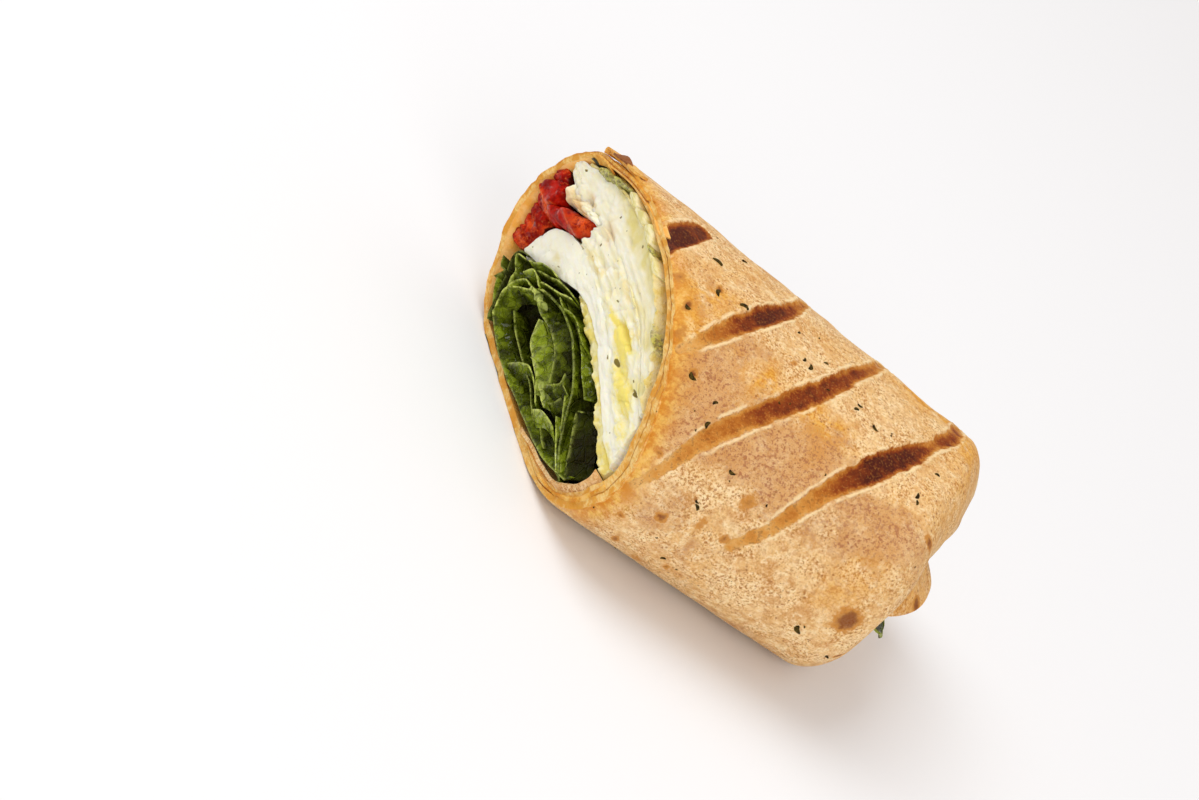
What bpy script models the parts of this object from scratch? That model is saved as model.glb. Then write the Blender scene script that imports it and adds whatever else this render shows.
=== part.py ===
"""Half of a grilled vegetarian wrap, cut on the bias, lying on its broad flat side.

A flour tortilla is rolled about one and a half turns round spinach, a folded egg patty, a white
slab, pesto and dried tomatoes. The far end is folded shut and the near end is the cut.

Frame: metres, +Z up. X runs from the cut to the folded end, +Y points to the long side with the
tomatoes. A place inside the wrap is given as it shows on the cut face, (y, z) in millimetres,
with a depth from 0 at the cut to 1 at the folded end, and into_wrap() finds it in space.
"""

import math
import random

import bmesh
import bpy
from mathutils import Matrix, Vector, noise

MM = 0.001

# Driving dimensions, in millimetres and degrees
HALF_WIDTH = 36.0
HEIGHT = 50.0
LENGTH = 104.4
CUT_BIAS = 29.7
CUT_LEAN = 3.0
END_HALF_WIDTH = 29.3
END_HEIGHT = 49.3
END_SLANT = 5.5
END_ROUND = 9.0
END_DIP = 2.2
SHEET = 2.1
GAP = 0.35
SLIT = 0.5

# Depths of the rings that the fillings and the room for them share, and of what lies between
DEPTHS = [0.0, 0.12, 0.25, 0.4, 0.55, 0.7, 0.8, 0.87]
BEFORE_CUT = -0.06
BEHIND_CUT = 0.02
END_WALL = 0.89

# Outline of the cut, (y, z) in millimetres, from the tomato end over the top and back below
OUTLINE = [
    (36.4, 21.0), (36.2, 28.5), (33.2, 36.5), (28.0, 43.3), (21.0, 47.4), (12.0, 49.7),
    (3.0, 50.2), (-6.0, 48.9), (-15.0, 45.9), (-23.0, 40.5), (-30.2, 33.2), (-35.2, 24.8),
    (-36.0, 17.0), (-33.5, 10.0), (-29.0, 4.8), (-21.5, 1.0), (-12.0, -0.4), (0.0, -0.6),
    (10.0, -0.6), (18.5, -0.2), (25.0, 3.6), (30.0, 8.6), (34.0, 14.2),
]

# Where one thing ends and the next begins on the cut, from the tomato end to the narrow end
ROOF = [
    (34.6, 28.5), (33.0, 33.5), (28.0, 39.3), (20.0, 43.3), (10.0, 45.9), (3.0, 46.2),
    (-5.0, 44.6), (-12.0, 41.5), (-19.0, 37.3), (-25.0, 32.3), (-28.5, 27.0), (-30.0, 21.0),
]
FLOOR = [
    (34.9, 25.0), (33.5, 18.0), (29.5, 11.5), (25.0, 6.2), (19.0, 2.9), (10.0, 2.0),
    (0.0, 2.0), (-10.0, 2.9), (-18.0, 4.4), (-24.0, 7.3), (-28.0, 11.5), (-29.8, 16.5),
]
PESTO_TOP = [
    (28.0, 38.9), (20.0, 43.1), (10.0, 45.7), (3.0, 46.0), (-5.0, 44.4), (-12.0, 41.3),
    (-19.0, 37.0), (-26.0, 30.9),
]
PESTO_UNDER = [
    (27.6, 37.9), (20.0, 41.7), (10.0, 44.2), (3.0, 44.5), (-5.0, 42.9), (-12.0, 39.8),
    (-19.0, 35.6), (-25.4, 30.0),
]
WHITE_TOP = [
    (31.6, 34.9), (27.6, 37.9), (20.0, 41.7), (10.0, 44.2), (3.0, 44.5), (-5.0, 42.9),
    (-12.0, 39.8), (-19.0, 35.6), (-24.4, 31.0),
]
WHITE_UNDER = [
    (31.4, 34.2), (28.6, 32.8), (25.2, 31.6), (21.0, 33.9), (15.0, 36.3), (10.0, 37.1),
    (2.0, 37.9), (-6.0, 37.5), (-14.0, 35.5), (-20.0, 32.6), (-24.8, 30.2),
]
YELLOW_TOP = [
    (14.0, 36.5), (10.0, 37.1), (2.0, 37.9), (-6.0, 37.5), (-14.0, 35.5), (-20.0, 32.6),
    (-26.6, 28.6),
]
YELLOW_UNDER = [
    (13.6, 31.9), (10.0, 30.9), (2.0, 30.1), (-6.0, 28.9), (-14.0, 26.9), (-21.0, 24.7),
    (-29.2, 22.0),
]
STRIP_TOP = [
    (24.9, 22.2), (23.4, 24.6), (21.0, 26.6), (18.0, 28.4), (14.6, 29.9), (12.6, 31.4),
    (10.0, 30.9), (2.0, 30.1), (-6.0, 28.9), (-14.0, 26.9), (-21.0, 24.7), (-29.2, 22.0),
]
STRIP_UNDER = [
    (25.3, 16.4), (22.3, 15.8), (19.0, 17.9), (15.0, 20.9), (11.0, 23.1), (7.6, 25.0),
    (2.0, 26.5), (-6.0, 25.7), (-14.0, 23.5), (-22.0, 20.9), (-29.4, 19.2),
]
CRUST_TOP = [
    (7.4, 25.0), (2.0, 26.5), (-6.0, 25.7), (-14.0, 23.5), (-22.0, 20.9), (-29.4, 19.2),
]
CRUST_UNDER = [
    (7.0, 24.3), (2.0, 23.8), (-6.0, 22.9), (-14.0, 20.9), (-20.0, 18.6), (-24.0, 17.0),
    (-29.4, 16.4),
]
SPINACH_TOP = [
    (26.4, 15.2), (22.3, 15.1), (19.0, 17.2), (15.0, 20.2), (11.0, 22.4), (7.0, 23.6),
    (2.0, 23.1), (-6.0, 22.2), (-14.0, 20.2), (-20.0, 17.9), (-24.0, 16.3), (-29.0, 15.7),
]
SPINACH_UNDER = [
    (27.4, 9.8), (24.6, 6.6), (19.0, 3.4), (10.0, 2.5), (0.0, 2.5), (-10.0, 3.4),
    (-18.0, 4.9), (-24.0, 7.8), (-27.6, 11.7), (-29.0, 15.0),
]

# The slit between the two turns of the tortilla, from its free edge to its start on the floor
TURN_SLIT = [
    (28.6, 45.6), (25.0, 45.0), (22.0, 45.3), (16.0, 46.9), (10.0, 47.9), (3.0, 48.2),
    (-5.0, 46.9), (-12.0, 44.3), (-20.0, 39.7), (-27.0, 33.5), (-32.0, 27.0), (-33.6, 20.0),
    (-32.3, 13.5), (-29.3, 8.2), (-25.0, 4.8), (-20.0, 3.3), (-14.0, 2.8), (-8.5, 3.2),
]
FOLD_SLIT = [
    (-29.6, 30.6), (-31.2, 26.0), (-31.8, 20.5), (-31.0, 15.0), (-28.9, 10.3), (-25.6, 7.6),
    (-23.0, 8.2),
]
FOLD_SLIT_END = 0.30

# Sun-dried tomato pieces: centre (y, z), half sizes, turn in degrees
TOMATOES = [
    ((30.3, 29.6), (3.4, 2.9), 12.0),
    ((21.0, 30.3), (7.2, 1.9), -33.0),
    ((29.5, 19.1), (3.2, 3.9), 20.0),
]

# Grill marks: (x, angle round the wrap) at the narrow end, then at the tomato end, half width.
# The angle is 90 at the crown and 180 on the side of the narrow end.
MARKS = [
    ((20.0, 98.0), (31.2, 60.0), 2.6),
    ((35.5, 126.0), (54.6, 60.0), 2.3),
    ((42.5, 184.0), (74.4, 60.0), 2.4),
    ((65.5, 182.0), (96.0, 60.0), 2.6),
]
MARK_DEPTH = 0.8
MARK_BOW = 2.4

SPINACH_LEAVES = 13
LEAF_THICKNESS = 0.55


def material(name, colour, roughness):
    """A plain finish for one piece."""
    made = bpy.data.materials.new(name)
    made.use_nodes = True
    shader = made.node_tree.nodes["Principled BSDF"]
    shader.inputs["Base Color"].default_value = (*colour, 1.0)
    shader.inputs["Roughness"].default_value = roughness
    shader.inputs["Metallic"].default_value = 0.0
    return made


def smooth_path(points, count, closed=False):
    """Evenly spaced points on a Catmull-Rom curve through the points given."""
    dense = []
    spans = len(points) if closed else len(points) - 1
    for i in range(spans):
        if closed:
            p0, p1, p2, p3 = (Vector(points[(i + k) % len(points)]) for k in (-1, 0, 1, 2))
        else:
            p0, p1, p2, p3 = (
                Vector(points[min(max(i + k, 0), len(points) - 1)]) for k in (-1, 0, 1, 2)
            )
        for step in range(12):
            t = step / 12
            dense.append(
                0.5 * (2 * p1 + (p2 - p0) * t + (2 * p0 - 5 * p1 + 4 * p2 - p3) * t * t
                       + (3 * p1 - p0 - 3 * p2 + p3) * t ** 3)
            )
    dense.append(dense[0].copy() if closed else Vector(points[-1]))
    return spaced(dense, count, closed)


def spaced(dense, count, closed):
    """Points at equal distances along a run of many short lines."""
    lengths = [0.0]
    for a, b in zip(dense, dense[1:]):
        lengths.append(lengths[-1] + (b - a).length)
    ends = count if closed else count - 1
    result = []
    k = 0
    for i in range(count):
        target = lengths[-1] * i / ends
        while k < len(lengths) - 2 and lengths[k + 1] < target:
            k += 1
        part = (target - lengths[k]) / max(lengths[k + 1] - lengths[k], 1e-9)
        result.append(dense[k].lerp(dense[k + 1], part))
    return result


def on_path(path, t):
    """The point a share t along a path of evenly spaced points."""
    place = min(max(t, 0.0), 1.0) * (len(path) - 1)
    k = min(int(place), len(path) - 2)
    return path[k].lerp(path[k + 1], place - k)


def shifted(points, distance):
    """A run moved sideways: towards +z where it goes from +y to -y and the distance is positive."""
    path = smooth_path(points, 40)
    moved = []
    for i, point in enumerate(path):
        along = path[min(i + 1, len(path) - 1)] - path[max(i - 1, 0)]
        normal = Vector((along.y, -along.x)).normalized()
        moved.append(point + normal * distance)
    return moved


CENTRE = Vector((0.0, 24.0))
END_CENTRE = Vector((0.0, END_HEIGHT / 2 - 0.3))
END_POWER = 2 / 2.6
RIM = smooth_path(OUTLINE, 360, closed=True)


def angle_of(y, z):
    return math.atan2((z - CENTRE.y) / (HEIGHT / 2), (y - CENTRE.x) / HALF_WIDTH)


RIM_BY_ANGLE = sorted((angle_of(p.x, p.y), p) for p in RIM)


def rim_at(angle):
    """The outline's point in a direction from its centre."""
    low, high = 0, len(RIM_BY_ANGLE) - 1
    if angle <= RIM_BY_ANGLE[0][0] or angle >= RIM_BY_ANGLE[-1][0]:
        a, b = RIM_BY_ANGLE[-1], RIM_BY_ANGLE[0]
        turn = (angle - a[0]) % (2 * math.pi)
        return a[1].lerp(b[1], turn / ((b[0] - a[0]) % (2 * math.pi)))
    while high - low > 1:
        middle = (low + high) // 2
        if RIM_BY_ANGLE[middle][0] <= angle:
            low = middle
        else:
            high = middle
    a, b = RIM_BY_ANGLE[low], RIM_BY_ANGLE[high]
    return a[1].lerp(b[1], (angle - a[0]) / max(b[0] - a[0], 1e-9))


def signed_power(value, power):
    return math.copysign(abs(value) ** power, value)


def end_rim_at(angle):
    """The outline of the folded end, a rounded box, in a direction from its centre."""
    return END_CENTRE + Vector((
        END_HALF_WIDTH * signed_power(math.cos(angle), END_POWER),
        (END_HEIGHT / 2 + 0.3) * signed_power(math.sin(angle), END_POWER),
    ))


CUT_START = min(
    (HALF_WIDTH - p.x) * math.tan(math.radians(CUT_BIAS))
    + (p.y - HEIGHT / 2) * math.tan(math.radians(CUT_LEAN)) for p in RIM
)


def cut_x(y, z):
    """Where the knife's plane stands at a place of the cut."""
    bias = (HALF_WIDTH - y) * math.tan(math.radians(CUT_BIAS))
    lean = (z - HEIGHT / 2) * math.tan(math.radians(CUT_LEAN))
    return bias + lean - CUT_START


def end_x(y, z):
    """Where the folded end stands, further out on the long side and drawn in beside it."""
    above = min(max(z / HEIGHT, 0.0), 1.0)
    dip = END_DIP * above * math.exp(-(((y + 14.0) / 11.0) ** 2))
    return LENGTH + END_SLANT * y / HALF_WIDTH - dip


def end_share(x, start):
    """How far the section at x has turned into the folded end's, 0 at the cut and 1 at the end."""
    here, there = (min(max(value / LENGTH, 0.0), 1.0) ** 1.5 for value in (x, start))
    return max((here - there) / (1.0 - there), 0.0)


def into_wrap(y, z, depth, out=0.0):
    """The place in space of a point of the cut, taken into the wrap, in millimetres.

    out moves it away from the cut, along X.
    """
    start, end = cut_x(y, z), end_x(y, z)
    x = start + (end - start) * depth
    blend = end_share(x, start)
    here = Vector((y, z)) - CENTRE
    angle = angle_of(y, z)
    reach = here.length / max((rim_at(angle) - CENTRE).length, 1e-6)
    there = END_CENTRE + (end_rim_at(angle) - END_CENTRE) * reach
    place = (CENTRE + here).lerp(there, blend)
    rounding = min(max((x - (end - END_ROUND)) / END_ROUND, 0.0), 1.0)
    inset = 1.0 - math.sqrt(max(1.0 - rounding * rounding, 0.0))
    middle = END_HEIGHT * 0.45
    y_there = place.x * (1.0 - inset * 0.20)
    z_there = middle + (place.y - middle) * (1.0 - inset * 0.58)
    return Vector((x - out, y_there, z_there))


def finish(mesh_name, bm, finish_material, smooth=True):
    """The mesh as an object of the scene, in metres, with its faces outwards."""
    bmesh.ops.recalc_face_normals(bm, faces=bm.faces)
    if bm.calc_volume(signed=True) < 0:
        bmesh.ops.reverse_faces(bm, faces=bm.faces)
    bmesh.ops.scale(bm, vec=Vector((MM, MM, MM)), verts=bm.verts)
    mesh = bpy.data.meshes.new(mesh_name)
    bm.to_mesh(mesh)
    bm.free()
    if finish_material:
        mesh.materials.append(finish_material)
    if smooth:
        mesh.shade_smooth()
        mesh.set_sharp_from_angle(angle=math.radians(40))
    made = bpy.data.objects.new(mesh_name, mesh)
    bpy.context.scene.collection.objects.link(made)
    return made


def cutter(mesh_name, bm):
    """A tool for a Boolean, not part of the food."""
    made = finish(mesh_name, bm, None, smooth=False)
    made.hide_render = True
    made.display_type = "WIRE"
    return made


def extruded(bm, stations):
    """Extrudes all faces along Z, once for each station."""
    region = list(bm.faces)
    for vert in bm.verts:
        vert.co.z = stations[0]
    for number, station in enumerate(stations[1:]):
        made = bmesh.ops.extrude_face_region(bm, geom=region)["geom"]
        if number > 0:
            bmesh.ops.delete(bm, geom=region, context="FACES")
        region = [part for part in made if isinstance(part, bmesh.types.BMFace)]
        for vert in {v for face in region for v in face.verts}:
            vert.co.z = station
    return bm


def block(columns, rows, stations):
    """A box cut into columns and rows, x and y from 0 to 1, with a ring at each station in z."""
    bm = bmesh.new()
    bmesh.ops.create_grid(bm, x_segments=columns, y_segments=rows, size=0.5)
    bmesh.ops.translate(bm, vec=Vector((0.5, 0.5, 0.0)), verts=bm.verts)
    return extruded(bm, stations)


def rod(segments, stations):
    """A round bar of radius 1 with a ring at each station in z, its cut end domed."""
    bm = bmesh.new()
    bmesh.ops.create_circle(bm, segments=segments, radius=1.0, cap_ends=True)
    bmesh.ops.inset_region(bm, faces=bm.faces, thickness=0.3, depth=0.0, use_even_offset=False)
    middle = [face for face in bm.faces if len(face.verts) > 4]
    bmesh.ops.poke(bm, faces=middle)
    return extruded(bm, stations)


def rough(place, size, seed):
    """Smooth unevenness from -1 to 1, size being the distance between bumps in millimetres."""
    return noise.noise(place / size + Vector((seed * 7.3, seed * 3.1, seed * 5.7)))


def outer_form(bm):
    """The rolled and folded tortilla as a solid, before it is hollowed."""
    for vert in bm.verts:
        angle = math.atan2(vert.co.y, vert.co.x)
        depth = vert.co.z
        rim = rim_at(angle)
        if depth <= 1.0:
            place = into_wrap(rim.x, rim.y, depth)
        else:
            place = fold_place(rim, depth - 1.0)
        swell = 0.35 * rough(place, 13.0, 1) + 0.18 * rough(place, 5.0, 2)
        lift = min(max(place.z / 8.0, 0.0), 1.0) * min(max(depth * 12.0, 0.0), 1.0)
        away = Vector((0.0, place.y, place.z - CENTRE.y)).normalized()
        place += away * swell * lift
        place.z = max(place.z, 0.0)
        vert.co = place


def fold_place(rim, inward):
    """The folded end's face: its lips roll in to a crease, the upper lip standing out."""
    edge = into_wrap(rim.x, rim.y, 1.0)
    middle = END_HEIGHT * 0.45
    shut = 1.0 - inward * 0.93
    height = (edge.z - middle) * shut
    wave = 1.4 * math.sin(edge.y / 9.0)
    crease = 3.2 * inward ** 1.5
    lip = 0.9 * inward if height > 0 else -0.6 * inward
    return Vector((edge.x - crease + lip, edge.y * (1.0 - 0.16 * inward), middle + height + wave * inward))


def tube(segments, stations):
    """A closed tube of radius 1, each ring at a station in z."""
    bm = bmesh.new()
    bmesh.ops.create_circle(bm, segments=segments, radius=1.0, cap_ends=True)
    return extruded(bm, stations)


def between(upper, lower, a, b):
    """A place on the cut, a share a along and b up from the lower run to the upper run."""
    return on_path(lower, a).lerp(on_path(upper, a), b)


def slit_cutter(name, points, end):
    """A thin curved blade that parts two turns of the tortilla."""
    upper = shifted(points, SLIT / 2)
    lower = shifted(points, -SLIT / 2)
    bm = block(24, 1, [BEFORE_CUT, *(end * share / 5 for share in range(6))])
    for vert in bm.verts:
        spot = between(upper, lower, vert.co.x, vert.co.y)
        vert.co = into_wrap(spot.x, spot.y, vert.co.z)
    return cutter(name, bm)


def cavity_cutter():
    """The room inside the tortilla that the fillings take up."""
    ring = ROOF + FLOOR[::-1]
    path = smooth_path(ring, 64, closed=True)
    bm = tube(64, [BEFORE_CUT, *DEPTHS, END_WALL])
    for vert in bm.verts:
        turn = math.atan2(vert.co.y, vert.co.x) / (2 * math.pi) % 1.0
        spot = path[round(turn * 64) % 64]
        vert.co = into_wrap(spot.x, spot.y, vert.co.z)
    return cutter("cavity_cutter", bm)


def skin_at(x, angle):
    """A place on the outer skin, between the two ends, and the direction out of it."""
    rim = rim_at(math.remainder(angle, 2 * math.pi))
    blend = end_share(x, cut_x(rim.x, rim.y))
    here, near = (
        rim_at(math.remainder(turn, 2 * math.pi)).lerp(end_rim_at(turn), blend)
        for turn in (angle, angle + 0.02)
    )
    along = (near - here).normalized()
    return Vector((x, here.x, here.y)), Vector((0.0, along.y, -along.x))


def mark_cutter(number, start, end, half_width):
    """A round bar that runs over the crown, bowed a little and sunk into the skin."""
    radius = (half_width ** 2 + MARK_DEPTH ** 2) / (2 * MARK_DEPTH)
    curve = bpy.data.curves.new(f"mark_line_{number}", "CURVE")
    curve.dimensions = "3D"
    curve.bevel_depth = radius * MM
    curve.bevel_resolution = 5
    curve.use_fill_caps = True
    spline = curve.splines.new("POLY")
    steps = 12
    spline.points.add(steps)
    for i in range(steps + 1):
        t = i / steps
        x = start[0] + (end[0] - start[0]) * t - MARK_BOW * math.sin(math.pi * t)
        place, away = skin_at(x, math.radians(start[1] + (end[1] - start[1]) * t))
        sink = MARK_DEPTH * (1.0 - 1.6 * abs(2 * t - 1) ** 6)
        spline.points[i].co = (*((place + away * (radius - sink)) * MM), 1.0)
    holder = bpy.data.objects.new(f"mark_line_{number}", curve)
    bpy.context.scene.collection.objects.link(holder)
    shape = holder.evaluated_get(bpy.context.evaluated_depsgraph_get())
    mesh = bpy.data.meshes.new_from_object(shape)
    bpy.data.objects.remove(holder)
    bm = bmesh.new()
    bm.from_mesh(mesh)
    bmesh.ops.remove_doubles(bm, verts=bm.verts, dist=1e-6)
    bmesh.ops.scale(bm, vec=Vector((1 / MM, 1 / MM, 1 / MM)), verts=bm.verts)
    return cutter(f"mark_cutter_{number}", bm)


def flap_tongue():
    """The loose inner fold that stands out of the folded end."""
    bm = block(8, 6, [0.0, 1.0])
    for vert in bm.verts:
        across, out, thick = vert.co
        y = -19.0 + 21.0 * across
        reach = 1.0 - 0.45 * abs(2 * across - 1) ** 3
        x = 91.0 + (14.6 + 0.06 * y) * out * reach
        z = 29.5 + 0.22 * (y + 9.0) - 5.0 * out ** 3 + 1.2 * math.sin(across * 5.0)
        vert.co = Vector((x, y, z + (thick - 0.5) * SHEET))
    return cutter("flap_tongue", bm)


def tortilla(skin):
    """Outer form, less the room for the fillings, the slits between turns and the grill marks."""
    stations = [0.0, 0.05, 0.13, 0.22, 0.31, 0.4, 0.49, 0.58, 0.67, 0.76, 0.84, 0.9, 0.94, 0.97,
                1.0, 1.3, 1.65, 2.0]
    bm = tube(64, stations)
    outer_form(bm)
    body = finish("tortilla", bm, skin)
    tongue = flap_tongue()
    join(body, tongue, "UNION")
    tools = [cavity_cutter()]
    tools.append(slit_cutter("turn_slit_cutter", TURN_SLIT, DEPTHS[-1]))
    tools.append(slit_cutter("fold_slit_cutter", FOLD_SLIT, FOLD_SLIT_END))
    for number, (start, end, half_width) in enumerate(MARKS):
        tools.append(mark_cutter(number, start, end, half_width))
    for tool in tools:
        join(body, tool, "DIFFERENCE")
    for tool in [tongue, *tools]:
        bpy.data.objects.remove(tool)
    return body


def join(body, tool, operation):
    """Applies one Boolean to the body's mesh."""
    boolean = body.modifiers.new("boolean", "BOOLEAN")
    boolean.operation = operation
    boolean.solver = "EXACT"
    boolean.object = tool
    evaluated = body.evaluated_get(bpy.context.evaluated_depsgraph_get())
    mesh = bpy.data.meshes.new_from_object(evaluated)
    body.modifiers.remove(boolean)
    body.data = mesh


def layer(name, upper, lower, skin, columns=18, rows=3, relief=0.5, recess=0.6, seed=1,
          fray=0.0):
    """A filling between two runs of the cut, from the cut to near the folded end."""
    top = shifted(upper, -GAP / 2)
    bottom = shifted(lower, GAP / 2)
    bm = block(columns, rows, [DEPTHS[0], BEHIND_CUT, *DEPTHS[1:]])
    for vert in bm.verts:
        along, up, depth = vert.co
        spot = between(top, bottom, along, up)
        out = 0.0
        if depth == 0.0:
            here = Vector((spot.x, spot.y, 0.0))
            rounded = abs(2 * up - 1) ** 4 + abs(2 * along - 1) ** 10
            out = relief * rough(here, 3.2, seed) - recess - 0.5 * rounded
            out += fray * rough(here, 1.7, seed + 9) * (1.0 - up)
        vert.co = into_wrap(spot.x, spot.y, depth, out)
    return finish(name, bm, skin)


def tomato(number, centre, half, turn, skin):
    """One wrinkled strip of dried tomato, along the whole filling."""
    bm = rod(16, [DEPTHS[0], BEHIND_CUT, *DEPTHS[1:]])
    heading = Matrix.Rotation(math.radians(turn), 2)
    for vert in bm.verts:
        x, y, depth = vert.co
        phase = math.atan2(y, x)
        wrinkle = 1.0 + 0.10 * math.sin(3 * phase + 9 * depth + number) - 0.05
        taper = 1.0 - 0.30 * (max(depth - 0.25, 0.0) / (DEPTHS[-1] - 0.25)) ** 2
        spot = Vector(centre) + heading @ Vector((x * half[0], y * half[1])) * wrinkle * taper
        out = 0.0
        if depth == 0.0:
            here = Vector((spot.x, spot.y, 0.0))
            out = 0.9 * rough(here, 2.6, 20 + number) + 1.2 * (1.0 - x * x - y * y) - 1.4
        vert.co = into_wrap(spot.x, spot.y, depth, out)
    return finish(f"tomato_{number + 1}", bm, skin)


def spinach(skin):
    """The heap of leaves: a core set back from the cut, with wavy leaves fused on."""
    top = shifted(SPINACH_TOP, -GAP / 2)
    bottom = shifted(SPINACH_UNDER, GAP / 2)
    bm = block(14, 3, [0.03, *DEPTHS[1:]])
    for vert in bm.verts:
        along, up, depth = vert.co
        spot = between(top, bottom, 0.02 + 0.96 * along, 0.04 + 0.92 * up)
        here = Vector((spot.x, spot.y, 0.0))
        out = 1.6 * rough(here, 4.0, 40) if depth == 0.03 else 0.0
        vert.co = into_wrap(spot.x, spot.y, depth, out)
    core = finish("spinach", bm, skin)
    leaves = bpy.data.collections.new("leaves")
    draw = random.Random(5)
    for i in range(SPINACH_LEAVES):
        leaves.objects.link(leaf_ribbon(i, top, bottom, draw))
    union = core.modifiers.new("union", "BOOLEAN")
    union.operation = "UNION"
    union.operand_type = "COLLECTION"
    union.collection = leaves
    union.solver = "EXACT"
    core.data = bpy.data.meshes.new_from_object(
        core.evaluated_get(bpy.context.evaluated_depsgraph_get()))
    core.modifiers.remove(union)
    for leaf in list(leaves.objects):
        bpy.data.objects.remove(leaf)
    bpy.data.collections.remove(leaves)
    return core


def leaf_ribbon(number, top, bottom, draw):
    """One leaf standing edge-on in the cut, wavy along its front edge."""
    low = 0.07 + 0.86 * (number + 0.5) / SPINACH_LEAVES
    start = draw.uniform(0.03, 0.28)
    length = draw.uniform(0.50, 0.68)
    slope = draw.uniform(-0.13, 0.13)
    wave = draw.uniform(0.03, 0.06)
    turns = draw.uniform(4.0, 7.5)
    bm = block(10, 1, [0.0, 0.035, 0.09])
    for vert in bm.verts:
        along, side, depth = vert.co
        a = min(start + length * along, 0.965)
        centre = low + slope * (along - 0.5) + wave * math.sin(turns * along + number)
        centre = min(max(centre, 0.06), 0.94)
        spot = between(top, bottom, a, centre)
        thick = LEAF_THICKNESS * (0.35 + 0.65 * math.sin(math.pi * min(max(along, 0.06), 0.94)))
        spot.y += (side - 0.5) * thick
        out = 0.0
        if depth < 0.03:
            out = 0.8 + 1.0 * math.sin(turns * 1.3 * along + 2.1 * number)
        vert.co = into_wrap(spot.x, spot.y, depth, out)
    made = finish(f"leaf_{number}", bm, None)
    bpy.context.scene.collection.objects.unlink(made)
    return made


def leaf_tip(skin):
    """The tip of a leaf that has slipped out through the crease of the fold."""
    bm = block(6, 4, [0.0, 1.0])
    for vert in bm.verts:
        along, across, thick = vert.co
        half = 3.0 * math.sin(math.pi * (0.22 + 0.70 * along))
        x = 99.9 + 4.6 * along
        y = -17.0 - 1.5 * along + (across - 0.5) * 2 * half
        z = 20.9 - 3.0 * along * along + 0.25 * math.sin(across * 7.0) * along
        vert.co = Vector((x, y, z + (thick - 0.5) * LEAF_THICKNESS))
    return finish("spinach_tip", bm, skin)


def centre_on_base(pieces):
    """Moves all pieces so that the origin is below the middle of the whole, on the surface."""
    corners = [vert.co for piece in pieces for vert in piece.data.vertices]
    low = Vector([min(c[k] for c in corners) for k in range(3)])
    high = Vector([max(c[k] for c in corners) for k in range(3)])
    shift = Vector((-(low.x + high.x) / 2, -(low.y + high.y) / 2, -low.z))
    for piece in pieces:
        piece.data.transform(Matrix.Translation(shift))


def build():
    for old in list(bpy.data.objects):
        bpy.data.objects.remove(old)
    bread = material("toasted tortilla", (0.80, 0.56, 0.31), 0.75)
    white = material("white slab", (0.86, 0.86, 0.72), 0.45)
    egg_white = material("egg white", (0.92, 0.91, 0.84), 0.45)
    yolk = material("yellow egg", (0.87, 0.80, 0.36), 0.50)
    crust = material("browned egg", (0.76, 0.66, 0.22), 0.60)
    green = material("spinach leaf", (0.04, 0.13, 0.02), 0.35)
    sauce = material("pesto", (0.23, 0.28, 0.06), 0.50)
    red = material("dried tomato", (0.55, 0.06, 0.02), 0.35)
    pieces = [tortilla(bread)]
    pieces.append(layer("pesto", PESTO_TOP, PESTO_UNDER, sauce, columns=22, rows=1,
                        relief=0.8, recess=0.4, seed=2))
    pieces.append(layer("white_slab", WHITE_TOP, WHITE_UNDER, white, rows=4, seed=3))
    pieces.append(layer("egg_yellow", YELLOW_TOP, YELLOW_UNDER, yolk, rows=3, seed=4))
    pieces.append(layer("egg_white", STRIP_TOP, STRIP_UNDER, egg_white, columns=20, rows=3, seed=5))
    pieces.append(layer("egg_crust", CRUST_TOP, CRUST_UNDER, crust, rows=2, seed=6, fray=1.2))
    pieces.append(spinach(green))
    for number, (centre, half, turn) in enumerate(TOMATOES):
        pieces.append(tomato(number, centre, half, turn, red))
    pieces.append(leaf_tip(green))
    centre_on_base(pieces)


build()
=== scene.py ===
# %% [markdown]
# # Half of a grilled vegetarian wrap
# A flour tortilla is rolled about one and a half turns round spinach, egg, a white slab, pesto and
# dried tomatoes, pressed on a grill and cut on the bias. The packed model gives the frame: every
# piece here stands where one of its solids stands, and carries the detail that a solid leaves out.

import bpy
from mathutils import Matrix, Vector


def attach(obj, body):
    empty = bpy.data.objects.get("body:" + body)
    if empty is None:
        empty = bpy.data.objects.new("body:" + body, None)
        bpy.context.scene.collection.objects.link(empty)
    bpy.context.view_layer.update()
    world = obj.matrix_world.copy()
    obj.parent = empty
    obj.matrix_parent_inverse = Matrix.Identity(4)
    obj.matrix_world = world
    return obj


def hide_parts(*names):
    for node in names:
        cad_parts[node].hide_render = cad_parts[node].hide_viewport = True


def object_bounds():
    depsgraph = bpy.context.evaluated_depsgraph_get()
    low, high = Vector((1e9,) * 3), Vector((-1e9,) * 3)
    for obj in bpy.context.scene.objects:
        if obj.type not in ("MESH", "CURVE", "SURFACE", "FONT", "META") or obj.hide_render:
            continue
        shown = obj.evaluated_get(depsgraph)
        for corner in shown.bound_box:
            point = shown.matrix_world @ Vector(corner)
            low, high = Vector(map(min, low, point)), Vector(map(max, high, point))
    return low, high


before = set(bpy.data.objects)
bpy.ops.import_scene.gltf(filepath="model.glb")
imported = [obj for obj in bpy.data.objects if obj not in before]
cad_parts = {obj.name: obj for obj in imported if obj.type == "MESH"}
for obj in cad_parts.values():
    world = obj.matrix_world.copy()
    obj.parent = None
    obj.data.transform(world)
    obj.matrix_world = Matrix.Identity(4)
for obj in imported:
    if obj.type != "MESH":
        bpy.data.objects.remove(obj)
cad_box = [list(corner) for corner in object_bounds()]

import math
import random

import bmesh
import bpy
import numpy as np
from mathutils import Matrix, Vector, noise

MM = 0.001
print("nodes", sorted(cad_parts), "box", [[round(v, 4) for v in c] for c in cad_box])

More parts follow.
